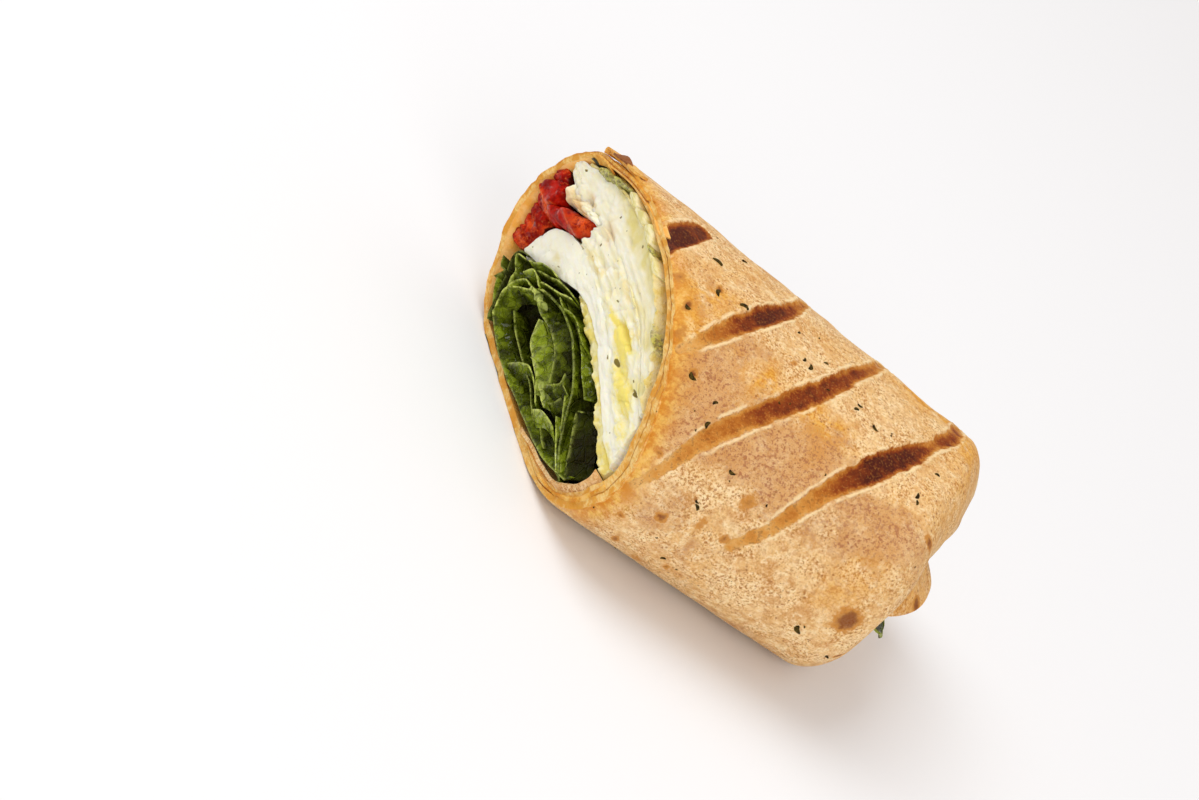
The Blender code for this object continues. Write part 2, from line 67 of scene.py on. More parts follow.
# %% [markdown]
# ## The way from the cut into the wrap
# All pieces are drawn as they show on the cut face: y runs across it and z up it, in millimetres.
# A depth then takes a point into the wrap, 0 at the knife's cut and 1 at the folded end. On the way
# the cut's flattened oval turns into the end's rounded box. One function does this for every
# piece, so the layers stay parallel all the way in.

# %% Driving sizes, the same as the solids'
HALF_WIDTH = 36.0
HEIGHT = 50.0
LENGTH = 104.4
CUT_BIAS = math.radians(29.7)
CUT_LEAN = math.radians(3.0)
END_HALF_WIDTH = 29.3
END_HEIGHT = 49.3
END_SLANT = 5.5
END_ROUND = 9.0
END_DIP = 2.2
END_MIDDLE = END_HEIGHT * 0.45
END_BLEND = 1.5
END_NARROWING = 0.20
END_CLOSING = 0.58
SHEET = 2.1
CENTRE = np.array((0.0, 24.0))
END_CENTRE = np.array((0.0, END_HEIGHT / 2 - 0.3))
END_POWER = 2 / 2.6
CAD_SHIFT = np.array((cad_box[0][0] / MM, -0.25, 0.0))

OUTLINE = """36.4 21, 36.2 28.5, 33.2 36.5, 28 43.3, 21 47.4, 12 49.7, 3 50.2, -6 48.9, -15 45.9,
    -23 40.5, -30.2 33.2, -35.2 24.8, -36 17, -33.5 10, -29 4.8, -21.5 1, -12 -0.4, 0 -0.6,
    10 -0.6, 18.5 -0.2, 25 3.6, 30 8.6, 34 14.2"""


# %% Smooth lines through a few points
def rows(text):
    """Rows of numbers from text that has a comma between two rows."""
    return [tuple(map(float, row.split())) for row in text.split(",")]


def smooth(points, closed=False, steps=24):
    """Many points on a Catmull-Rom curve through the points given as text, as an array."""
    given = np.array(rows(points))
    count = len(given)
    pieces = []
    for i in range(count if closed else count - 1):
        ids = [k % count if closed else min(max(k, 0), count - 1) for k in range(i - 1, i + 3)]
        p0, p1, p2, p3 = given[ids]
        t = np.linspace(0, 1, steps, endpoint=False)[:, None]
        pieces.append(0.5 * (2 * p1 + (p2 - p0) * t + (2 * p0 - 5 * p1 + 4 * p2 - p3) * t ** 2
                             + (3 * p1 - p0 - 3 * p2 + p3) * t ** 3))
    pieces.append(given[:1] if closed else given[-1:])
    return np.concatenate(pieces)


def lengths(line):
    """The length of a line up to each of its points."""
    return np.concatenate([[0.0], np.cumsum(np.linalg.norm(np.diff(line[:, :2], axis=0), axis=1))])


def at(line, distance):
    """The places on a line at distances along it."""
    far = lengths(line)
    return np.stack([np.interp(distance, far, line[:, k]) for k in range(line.shape[1])], -1)


def share_of(line, share):
    return at(line, np.asarray(share) * lengths(line)[-1])


def eased(value, start, end):
    t = np.clip((np.asarray(value, float) - start) / (end - start), 0, 1)
    return t * t * (3 - 2 * t)


def near(value, spread, power=2):
    """1 where the value is 0, falling off as a bell of that spread."""
    return np.exp(-(value / spread) ** power)


RIM = smooth(OUTLINE, closed=True)
print("round the cut", round(float(lengths(RIM)[-1]), 1), "mm")


# %% From the cut into the wrap
def angle_of(y, z):
    return np.arctan2((z - CENTRE[1]) / (HEIGHT / 2), (y - CENTRE[0]) / HALF_WIDTH)


RIM_ANGLE = angle_of(RIM[:-1, 0], RIM[:-1, 1])
RIM_ORDER = np.argsort(RIM_ANGLE)


def rim_at(angle):
    """The outline's points in directions from its centre."""
    angles, points = RIM_ANGLE[RIM_ORDER], RIM[:-1][RIM_ORDER]
    full = 2 * math.pi
    return np.stack([np.interp(angle, angles, side, period=full) for side in points.T], -1)


def end_rim_at(angle):
    """The folded end's outline, a rounded box, in directions from its centre."""
    def power(value):
        return np.sign(value) * np.abs(value) ** END_POWER
    return END_CENTRE + np.stack([END_HALF_WIDTH * power(np.cos(angle)),
                                  (END_HEIGHT / 2 + 0.3) * power(np.sin(angle))], -1)


def lean(y, z):
    return (HALF_WIDTH - y) * math.tan(CUT_BIAS) + (z - HEIGHT / 2) * math.tan(CUT_LEAN)


CUT_START = lean(RIM[:, 0], RIM[:, 1]).min()


def cut_x(y, z):
    return lean(y, z) - CUT_START


def end_x(y, z):
    above = np.clip(z / HEIGHT, 0, 1)
    return LENGTH + END_SLANT * y / HALF_WIDTH - END_DIP * above * near(y + 14.0, 11.0)


def into_wrap(y, z, depth, out=0.0):
    """The places in the wrap of points of the cut, taken in by a share of the length. In mm."""
    start, end = cut_x(y, z), end_x(y, z)
    x = start + (end - start) * depth
    here, there = (np.clip(v / LENGTH, 0, 1) ** END_BLEND for v in (x, start))
    blend = np.maximum((here - there) / (1 - there), 0)[..., None]
    angle = angle_of(y, z)
    away = np.stack([y, z], -1) - CENTRE
    rim = np.linalg.norm(rim_at(angle) - CENTRE, axis=-1)
    reach = (np.linalg.norm(away, axis=-1) / np.maximum(rim, 1e-6))[..., None]
    end_place = END_CENTRE + (end_rim_at(angle) - END_CENTRE) * reach
    place = (CENTRE + away) * (1 - blend) + end_place * blend
    rounding = np.clip((x - (end - END_ROUND)) / END_ROUND, 0, 1)
    inset = 1 - np.sqrt(np.maximum(1 - rounding ** 2, 0))
    y_there = place[..., 0] * (1 - inset * END_NARROWING)
    z_there = END_MIDDLE + (place[..., 1] - END_MIDDLE) * (1 - inset * END_CLOSING)
    return np.stack([x - out, y_there, z_there], -1)


print("the cut runs over", round(float(np.ptp(cut_x(RIM[:, 0], RIM[:, 1]))), 1), "mm of the length")

# %% [markdown]
# ## Blocks and sheets to model from
# Each layer starts as a grid that stands for its section, extruded along the wrap and subdivided
# between its two ends, as one would by hand in edit mode. It runs from 0 to 1 each way, so its
# points are moved into the wrap by a function of three shares. A leaf or a flake is a plain grid
# with a Solidify modifier. Unevenness is smooth noise sampled where a point stands.


# %% Selecting and making
def only(obj):
    """Selects one object and makes it the active one."""
    bpy.ops.object.select_all(action="DESELECT")
    obj.select_set(True)
    bpy.context.view_layer.objects.active = obj


def grid(name, columns, rows):
    """A flat grid from 0 to 1 in x and y."""
    bpy.ops.object.select_all(action="DESELECT")
    bpy.ops.mesh.primitive_grid_add(x_subdivisions=columns, y_subdivisions=rows, size=1,
                                    location=(0.5, 0.5, 0))
    obj = bpy.context.object
    obj.name = obj.data.name = name
    bpy.ops.object.transform_apply(location=True, rotation=True, scale=True)
    return obj


def block(name, columns, rows, rings):
    """A box from 0 to 1, its section a grid, with that many spaces between its two ends."""
    obj = grid(name, columns, rows)
    bpy.ops.object.mode_set(mode="EDIT")
    bpy.ops.mesh.select_mode(type="FACE")
    bpy.ops.mesh.select_all(action="SELECT")
    bpy.ops.mesh.extrude_region_move(TRANSFORM_OT_translate={"value": (0, 0, 1)})
    for cuts in [rings - 1] if rings <= 60 else [9, rings // 10 - 1]:
        mesh = bmesh.from_edit_mesh(obj.data)
        bpy.ops.mesh.select_mode(type="EDGE")
        bpy.ops.mesh.select_all(action="DESELECT")
        for edge in mesh.edges:
            low, high = (vert.co.z for vert in edge.verts)
            edge.select_set(abs(high - low) > 1e-4)
        bmesh.update_edit_mesh(obj.data)
        bpy.ops.mesh.subdivide(number_cuts=cuts)
    bpy.ops.object.mode_set(mode="OBJECT")
    return obj


def corners(obj):
    """All points of a mesh as an array."""
    places = np.empty(len(obj.data.vertices) * 3)
    obj.data.vertices.foreach_get("co", places)
    return places.reshape(-1, 3)


def put(obj, places):
    """Moves all points of a mesh, from millimetres round the cut to the frame's metres."""
    obj.data.vertices.foreach_set("co", ((places + CAD_SHIFT) * MM).ravel())
    obj.data.update()


def paint(obj, **facts):
    """Keeps numbers for each point of the mesh, or one for all of them, for a material to read."""
    for name, values in facts.items():
        layer = obj.data.attributes.get(name) or obj.data.attributes.new(name, "FLOAT", "POINT")
        values = np.broadcast_to(np.asarray(values, np.float32), len(obj.data.vertices))
        layer.data.foreach_set("value", values.copy())


def rough(places, size, seed):
    """Smooth unevenness from -1 to 1 at each place, size being the bumps' distance in mm."""
    spots = np.asarray(places) / size + np.array((7.3, 3.1, 5.7)) * seed
    return np.array([noise.noise(spot) for spot in spots.tolist()])


def rough_3d(places, size, seed):
    return np.stack([rough(places, size, seed + k * 11) for k in range(3)], -1)


def outwards(obj):
    """Turns all faces outwards."""
    only(obj)
    bpy.ops.object.mode_set(mode="EDIT")
    bpy.ops.mesh.select_all(action="SELECT")
    bpy.ops.mesh.normals_make_consistent(inside=False)
    bpy.ops.object.mode_set(mode="OBJECT")


def solidify(obj, thickness):
    """Gives a sheet its thickness with a modifier, and applies it."""
    only(obj)
    wall = obj.modifiers.new("wall", "SOLIDIFY")
    wall.thickness = thickness * MM
    wall.offset = 0
    bpy.ops.object.modifier_apply(modifier=wall.name)


def join(name, parts):
    """Makes one object of several."""
    only(parts[0])
    for part in parts:
        part.select_set(True)
    bpy.ops.object.join()
    parts[0].name = parts[0].data.name = name
    return parts[0]


def done(obj, finish, slot, *nodes, sharp=50):
    """Gives a finished piece its material and its place among the packed solids."""
    only(obj)
    bpy.ops.object.shade_smooth_by_angle(angle=math.radians(sharp))
    obj.data.materials.clear()
    obj.data.materials.append(finish)
    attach(obj, "root")
    if nodes:
        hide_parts(*nodes)
    faces = sum(len(face.vertices) - 2 for face in obj.data.polygons)
    print(obj.name, faces, "triangles,", "for", nodes or "no node of its own")


# %% [markdown]
# ## A small vocabulary for materials
# The finishes are node trees on the pieces' Object coordinates. Writing each node by hand hides
# the idea, so two short classes name the few steps that food needs: noise of a size in
# millimetres, a soft threshold, one colour laid over another, and a bump. A node's output can be
# added and multiplied like a number.


# %% Building node trees
class Value:
    """A node's output."""

    def __init__(self, finish, socket):
        self.finish, self.socket = finish, socket

    def math(self, operation, other):
        return self.finish.node("Math", 0, {0: self, 1: other}, operation=operation)

    def __add__(self, other):
        return self.math("ADD", other)

    def __sub__(self, number):
        return self.math("ADD", -number)

    def __mul__(self, other):
        return self.math("MULTIPLY", other)

    def soft(self, low, high, to_low=0.0, to_high=1.0):
        """0 below low, 1 above high, and smooth between."""
        inputs = {"Value": self, "From Min": low, "From Max": high,
                  "To Min": to_low, "To Max": to_high}
        return self.finish.node("MapRange", "Result", inputs, interpolation_type="SMOOTHSTEP")


class Finish:
    """A Principled material and short ways to add nodes to it."""

    def __init__(self, name, roughness, specular):
        self.material = bpy.data.materials.new(name)
        self.material.use_nodes = True
        self.tree = self.material.node_tree
        self.shader = self.tree.nodes["Principled BSDF"]
        self.set("Roughness", roughness)
        self.set("Specular IOR Level", specular)

    def set(self, socket, value):
        self.plug(value, self.shader.inputs[socket])

    def plug(self, value, socket):
        """Puts a number, a colour or another node's output into a socket."""
        if isinstance(value, Value):
            self.tree.links.new(value.socket, socket)
        elif isinstance(value, tuple) and socket.type == "RGBA":
            socket.default_value = (*value, 1.0)
        else:
            socket.default_value = value

    def node(self, kind, output, inputs, **settings):
        node = self.tree.nodes.new("ShaderNode" + kind)
        for name, value in settings.items():
            setattr(node, name, value)
        for socket, value in inputs.items():
            self.plug(value, node.inputs[socket])
        return Value(self, node.outputs[output])

    def place(self, stretch):
        """Object coordinates in millimetres, squeezed along an axis by the stretch."""
        coords = self.node("TexCoord", "Object", {})
        scale = [1 / MM / s for s in stretch]
        return self.node("Mapping", "Vector", {"Scale": scale, "Vector": coords})

    def noise(self, size, detail=3.0, roughness=0.55, stretch=(1, 1, 1)):
        return self.node("TexNoise", "Fac", {"Vector": self.place(stretch), "Scale": 1 / size,
                                             "Detail": detail, "Roughness": roughness})

    def cells(self, size, feature="F1"):
        inputs = {"Vector": self.place((1, 1, 1)), "Scale": 1 / size}
        return self.node("TexVoronoi", "Distance", inputs, feature=feature)

    def painted(self, name):
        return self.node("Attribute", "Fac", {}, attribute_name=name)

    def mix(self, share, a, b):
        return self.node("Mix", 2, {0: share, 6: a, 7: b}, data_type="RGBA")

    def over(self, share, colour):
        """Lays a colour over what is there so far."""
        self.colour = self.mix(share, self.colour, colour)

    def ramp(self, value, *stops):
        ramp = self.node("ValToRGB", "Color", {"Fac": value})
        elements = ramp.socket.node.color_ramp.elements
        while len(elements) < len(stops):
            elements.new(1.0)
        for element, (place, colour) in zip(elements, stops):
            element.position = place
            element.color = (*colour, 1.0)
        return ramp

    def end(self, relief, distance, strength=1.0):
        """Plugs in the colour, with relief of that height in millimetres."""
        self.set("Base Color", self.colour)
        self.set("Normal", self.node("Bump", "Normal", {"Strength": strength, "Height": relief,
                                                        "Distance": distance * MM}))
        return self.material

    def glow(self, share, radius, scale=1.0):
        """Light that enters, wanders and comes out again, radius in millimetres."""
        self.set("Subsurface Weight", share)
        self.set("Subsurface Radius", radius)
        self.set("Subsurface Scale", scale * MM)


print("the vocabulary has", len([n for n in vars(Finish) if not n.startswith("_")]), "words")

# %% [markdown]
# ## The tortilla's form
# The real thing is one sheet, rolled so that a free edge lies on top of the first turn, with the
# far end folded in. A solid with slits can't show that the turns slide over each other, so the
# sheet is modelled as one long block laid along a spiral: its points run along the cut's outline
# once, slip in under the free edge and go round again inside. The end's points are drawn together
# to a crease. Spaces are finer where the grilled side shows than on the floor.

# %% The spiral that the sheet follows
SEAM = 3 * 24    # of the outline's points, the one where the free edge lies
ROUND = float(lengths(RIM)[-1])
SEAM_AT = float(lengths(RIM)[SEAM])
BOTTOM_CORNER = float(lengths(RIM)[np.argmin(np.hypot(RIM[:, 0] + 20, RIM[:, 1] - 1))]) - SEAM_AT
TURN_GAP = 0.42
INNER_SHEET = 1.7
EDGE_SHEET = 0.6
TUCK_START, TUCK_END = ROUND - 3.0, ROUND + 5.0
INNER_TURN_END = ROUND + BOTTOM_CORNER + 12.0

stretches = [
    (0.0, BOTTOM_CORNER, 0.74),
    (BOTTOM_CORNER, BOTTOM_CORNER + 46.0, 2.4),
    (BOTTOM_CORNER + 46.0, TUCK_END, 1.2),
    (TUCK_END, INNER_TURN_END, 2.2),
]
runs = [np.linspace(a, b, round((b - a) / step), endpoint=False) for a, b, step in stretches]
sheet_run = np.concatenate([*runs, [INNER_TURN_END]])
rim_normal = np.gradient(RIM, axis=0)
rim_normal = np.stack([-rim_normal[:, 1], rim_normal[:, 0]], -1)
rim_normal /= np.linalg.norm(rim_normal, axis=1)[:, None]
if ((RIM - CENTRE) * rim_normal).sum() > 0:
    rim_normal = -rim_normal
RIM_WITH_NORMALS = np.concatenate([RIM, rim_normal], 1)


def rim_run(run):
    """The outline's points and inward directions at distances from the free edge."""
    found = at(RIM_WITH_NORMALS, (SEAM_AT + np.asarray(run)) % ROUND)
    return found[..., :2], found[..., 2:]


def sheet_faces(run):
    """How far inside the outline the sheet's outer and inner faces lie."""
    under = eased(run, TUCK_START, TUCK_END)
    outer = (SHEET + TURN_GAP) * under
    thick = EDGE_SHEET + (SHEET - EDGE_SHEET) * eased(run, 0, 6)
    thick = thick + (INNER_SHEET - SHEET) * under
    thick = thick * (1 - 0.5 * eased(run, INNER_TURN_END - 5, INNER_TURN_END))
    return outer, outer + thick


print(len(sheet_run), "places along", round(INNER_TURN_END), "mm of sheet")

# %% Grill marks, as lines on the skin
# Each is a line of (x, distance up from the lower edge, half width, darkness), in millimetres.
MARKS = [
    "21.5 75 2.4 0.8, 23.5 80 3 1, 26.5 86 2.9 1, 28.8 91 2.3 0.95",
    """34.8 56.5 0.9 0.1, 38.3 62 1.5 0.38, 41.8 68.5 2.1 0.72, 46 76 2.3 0.98, 50.3 83.5 1.9 0.9,
    53 91 1.5 0.62, 55 101 1.2 0.45""",
    """42.8 30 0.9 0.08, 45.3 36 1.2 0.22, 47.8 43 1.8 0.36, 51.4 50 2.2 0.52, 56.4 58 2.3 0.74,
    60 64.5 2.4 0.85, 63.6 71 2.2 0.82, 67.5 79 1.8 0.78, 70.8 86 1.6 0.68, 73.5 95 1.2 0.5,
    75 102 0.9 0.4""",
    """64.6 31 0.9 0.08, 68.3 36.5 1.3 0.26, 71 44 1.6 0.4, 74 51 2.1 0.58, 77.4 57.5 2.7 0.95,
    80.8 64 2.8 1, 84.2 70.5 2.4 0.96, 87 75.5 1.6 0.82, 88.7 78 1 0.5, 90 80.5 1.7 0.75,
    92.5 86 1.9 0.75, 94.3 95 1.6 0.62, 95.6 103 1.2 0.5""",
]
MARK_DEPTH = 0.55
MARK_LIP = 0.22
NO_MARK = -3.0


def nearest_mark(x, up):
    """For places on the skin: how far inside a mark's edge they lie, in mm, and its darkness."""
    best = np.full(len(x), NO_MARK)
    dark = np.zeros(len(x))
    for line in MARKS:
        fine = smooth(line, steps=14)
        apart = np.hypot(x[:, None] - fine[:, 0], up[:, None] - fine[:, 1])
        closest = apart.argmin(1)
        inside = fine[closest, 2] - apart[np.arange(len(x)), closest]
        closer = inside > best
        best = np.where(closer, inside, best)
        dark = np.where(closer, fine[closest, 3], dark)
    return np.clip(best, NO_MARK, -NO_MARK), dark


print(len(MARKS), "grill marks")


# %% The folded end
def fold_in(y, z, inward):
    """The places of the end's face, drawn together from its rounded edge to a crease."""
    x, y, z = np.moveaxis(into_wrap(y, z, np.ones_like(y)), -1, 0)
    height = (z - END_MIDDLE) * (1 - inward * 0.985)
    wave = 1.4 * np.sin(y / 9.0) * inward
    lip = np.where(z > END_MIDDLE, 0.9, -0.6) * inward
    crease = 3.2 * inward ** 1.5 + 2.5 * np.clip(inward - 0.8, 0, 1) / 0.2
    pleats = 0.75 * np.sin(y / 2.6 + 2 * np.sin(y / 7)) * inward * (1 - inward) * 4
    return np.stack([x - crease + lip + pleats, y * (1 - 0.16 * inward),
                     END_MIDDLE + height + wave], -1)


# %% The sheet's block and its place along the spiral
KNIFE_PINCH = 0.42
DEPTH_ROWS = 160
FOLD_ROWS = 12
CUT_ROWS = 8
CUT_SHARE = 0.02

sheet = block("tortilla_sheet", len(sheet_run) - 1, 4, DEPTH_ROWS)
share = corners(sheet)
run = sheet_run[np.rint(share[:, 0] * (len(sheet_run) - 1)).astype(int)]
row_depths = np.concatenate([
    np.linspace(0, CUT_SHARE, CUT_ROWS, endpoint=False),
    np.linspace(CUT_SHARE, 1, DEPTH_ROWS - CUT_ROWS - FOLD_ROWS, endpoint=False),
    np.linspace(1, 2, FOLD_ROWS + 1)])
depth = row_depths[np.rint(share[:, 2] * DEPTH_ROWS).astype(int)]
rim, inward = rim_run(run)
outer, inner = sheet_faces(run)
outside = share[:, 1]
from_cut = np.clip(depth, 0, 1) * (end_x(*rim.T) - cut_x(*rim.T))
pinch = 1 - KNIFE_PINCH * (1 - near(rim[:, 0] + 34.0, 7.0)) * np.exp(-from_cut / 3.2)
section = rim + inward * ((inner + (outer - inner) * outside) * pinch)[:, None]
body_part = into_wrap(section[:, 0], section[:, 1], np.minimum(depth, 1))
end_part = fold_in(section[:, 0], section[:, 1], np.clip(depth - 1, 0, 1))
place = np.where((depth > 1)[:, None], end_part, body_part)
print(len(place), "points on the sheet")

# %% [markdown]
# ## Relief on the tortilla
# A pressed tortilla is never smooth: it swells a little over what lies under it, blisters while it
# bakes, and sinks under the grill's bars with a pale raised edge beside each mark. Modifiers with
# textures could do this, but the marks follow lines on the skin, so the points are moved outwards
# by sums of smooth noise and by their distance from those lines.

# %% Swelling, blisters, marks and creases
up = BOTTOM_CORNER - run
skin = (run < TUCK_END) & (outside > 0.99)
away = place * (0, 1, 1) - (0, 0, CENTRE[1])
away /= np.linalg.norm(away, axis=1)[:, None]

lift = np.clip(place[:, 2] / 8, 0, 1) * np.clip(depth * 12, 0, 1)
blister = np.clip(rough(place, 6.5, 5) - 0.25, 0, 1)
move = lift * (0.35 * rough(place, 13, 1) + 0.18 * rough(place, 5, 2) + 0.35 * blister
               + 0.05 * rough(place, 1.6, 6))

mark, darkness = np.full(len(place), NO_MARK), np.zeros(len(place))
mark[skin], darkness[skin] = nearest_mark(place[skin, 0], up[skin])
sunk = eased(mark + 0.4 * rough(place, 2.5, 7), -0.2, 0.7)
lip = near(mark + 0.55, 0.45) * eased(darkness, 0.0, 0.35)
CREASES = [
    "77 96, 79 91.4, 82.6 89.2, 86.4 90.6, 89.6 94.6, 92.6 99.5",
    "70.5 97, 73 93.5, 77.5 91.8",
]
crease = np.full(len(place), 9.0)
for line in CREASES:
    fine = smooth(line)
    apart = np.hypot(place[skin, :1] - fine[:, 0], up[skin, None] - fine[:, 1]).min(1)
    crease[skin] = np.minimum(crease[skin], apart)
crease = near(crease, 0.55) * eased(up, 50, 80)
move += 0.30 * crease
move += np.where(skin, MARK_LIP * lip - MARK_DEPTH * sunk * (0.35 + 0.65 * darkness), 0)

# %% The long side drawn in, the rounded and torn edge of the cut, the flat floor
x, y, z = place.T
y -= 1.1 * eased(y, 22, 34) * eased(z, 6, 14) * near(from_cut, 16)
x -= 1.2 * eased(x, 90, 104) * eased(z, 24, 44) * eased(y, -12, 10)

crown = eased(run, 4, 16) * (1 - eased(run, BOTTOM_CORNER - 22, BOTTOM_CORNER - 2))
rounded = np.clip(1 - from_cut / (1.2 + 3.4 * crown), 0, 1) ** 2
move -= np.where(skin, rounded * (0.35 + 0.95 * crown), 0)
move += (1 - eased(run, 0, 7)) * (0.5 + 1.1 * np.exp(-from_cut / 5)) * lift
place = place + away * move[:, None]

torn = np.exp(-from_cut / 1.3) * (depth < 0.5)
across = section[:, [0, 1, 1]]
place[:, 0] -= torn * (0.45 * rough(across, 5, 8) + 0.30 * rough(across, 1.4, 9))
floor_level = np.where(outside > 0.5, 0.0, SHEET * 0.8)
place[:, 2] = np.where(run < ROUND, np.maximum(place[:, 2], floor_level), place[:, 2])
put(sheet, place)
outwards(sheet)
print("marks sink", MARK_DEPTH, "mm")

# %% Patches of colour on the skin
# Each is (x, distance up, two half sizes, strength). The last spots are strewn over the far side
# and the underside, which the photo doesn't show.
TOASTED = """41 50 8 13 1, 52 47 9 9 0.6, 60 50 9 8 0.75, 48 29 7 5 0.35, 70 55 8 7 0.8,
    83 47 10 8 0.75, 66 42 6 7 0.55, 92 52 7 7 0.5, 46 66 4 4 0.6, 33 72 5 8 0.35, 58 24 7 5 0.4,
    76 12 9 4 0.55, 44 16 5 5 0.4"""
AMBER = """82.5 93.5 4.6 2.8 1.3, 51.6 62.4 1.5 3.8 1.6, 54 60.6 1.6 2.2 0.7, 45 63.7 2.4 2.6 0.6,
    36.5 72 3 3.5 0.8, 68.6 62.3 2 2 0.7, 92 93.8 3 5 0.9, 50 45 6 7 0.5, 67 56 4 6 0.9,
    62 64 4 4 0.7, 88 42 5 6 0.5, 86 34 6 4 0.4, 97 88 6 12 0.9, 84 92 5 8 0.7, 50 58 14 10 0.35,
    76 60 14 9 0.25, 40 86 10 8 0.3, 64 84 8 6 0.3, 31 66 4 9 1, 36 58 4 6 0.9, 40 50 3 5 0.7,
    73 90 8 6 0.35, 98 66 4 12 0.4, 40 76 4 6 0.35"""
SPOTS = """92 31.5 2.4 1.7 1, 51 28 1.3 1 0.9, 39.5 54 0.9 0.7 0.9, 62 39 1.5 2.4 0.5,
    57.5 31 1 1.3 0.6, 63 31.5 0.9 0.7 0.9, 48 15.5 0.8 1.3 0.7, 96 55 1.4 1.1 1,
    36 75 0.7 0.9 0.9, 54 14 1.5 4 0.35, 97 21 0.9 0.9 0.9, 43 37.5 0.7 0.6 0.8,
    31.8 65.5 0.7 1.2 1, 55.5 71 0.7 0.8 0.6, 59 18 0.6 1.2 0.7, 28 71 1.6 1.4 0.5,
    33.5 60 1.2 2 0.45, 45 23 0.8 0.8 0.6"""
draw = random.Random(5)
strewn = [(8.5, BOTTOM_CORNER - 7, 2.2, 1.9, 1.4), (12.5, BOTTOM_CORNER - 11, 0.8, 0.8, 1.0)]
for _ in range(34):
    strewn.append((draw.uniform(12, 104), draw.uniform(-90, -4),
                   draw.uniform(0.7, 2.4), draw.uniform(0.7, 2.0), draw.uniform(0.35, 1.0)))


def patches(x, up, places):
    """The sum of soft oval patches, each a centre, two half sizes and a strength."""
    total = np.zeros(len(x))
    for px, pu, rx, ru, strength in rows(places) if isinstance(places, str) else places:
        total += strength * np.exp(-(((x - px) / rx) ** 2 + ((up - pu) / ru) ** 2))
    return np.clip(total, 0, 1)


# %% What the sheet's material reads at each point
wander = place[:, 0] + 2.2 * rough(place, 5, 21), up + 2.2 * rough(place, 5, 22)
stray = place[:, 0] + 0.4 * rough(place, 1.1, 23), up + 0.4 * rough(place, 1.1, 24)
unseen = 0.45 * np.clip(rough(place, 16, 25) + 0.25, 0, 1)
unseen *= (1 - eased(up, -8, 6) * eased(-up, -100, -88))
inside = np.where(run > ROUND, 1.0, 1 - outside) * near(from_cut, 25)
paint(sheet, mark=np.where(skin, mark, NO_MARK), dark=darkness, crease=crease, inside=inside,
      toast=np.where(skin, patches(*wander, TOASTED) + unseen, 0),
      amber=np.where(skin, patches(*wander, AMBER), 0),
      spot=np.where(skin, patches(*stray, rows(SPOTS) + strewn), 0),
      rim=np.where(skin, near(from_cut, 3.4) * (0.25 + 0.75 * crown), 0),
      cut=np.exp(-from_cut / 0.35) * (depth < 0.5))
skin_places, skin_away, skin_up = place[skin], away[skin], up[skin]
print("painted", [layer.name for layer in sheet.data.attributes if layer.data_type == "FLOAT"])

# %% [markdown]
# ## The tortilla's finish
# Flour tortilla is matt and pale tan, with toasted freckles where it touched the plate, golden
# where oil has soaked in near the cut, and burnt sugar-brown in the marks. One material carries
# all of it: the painted numbers say where, and noise of several sizes breaks each border up, since
# a toasted patch is really thousands of dots.


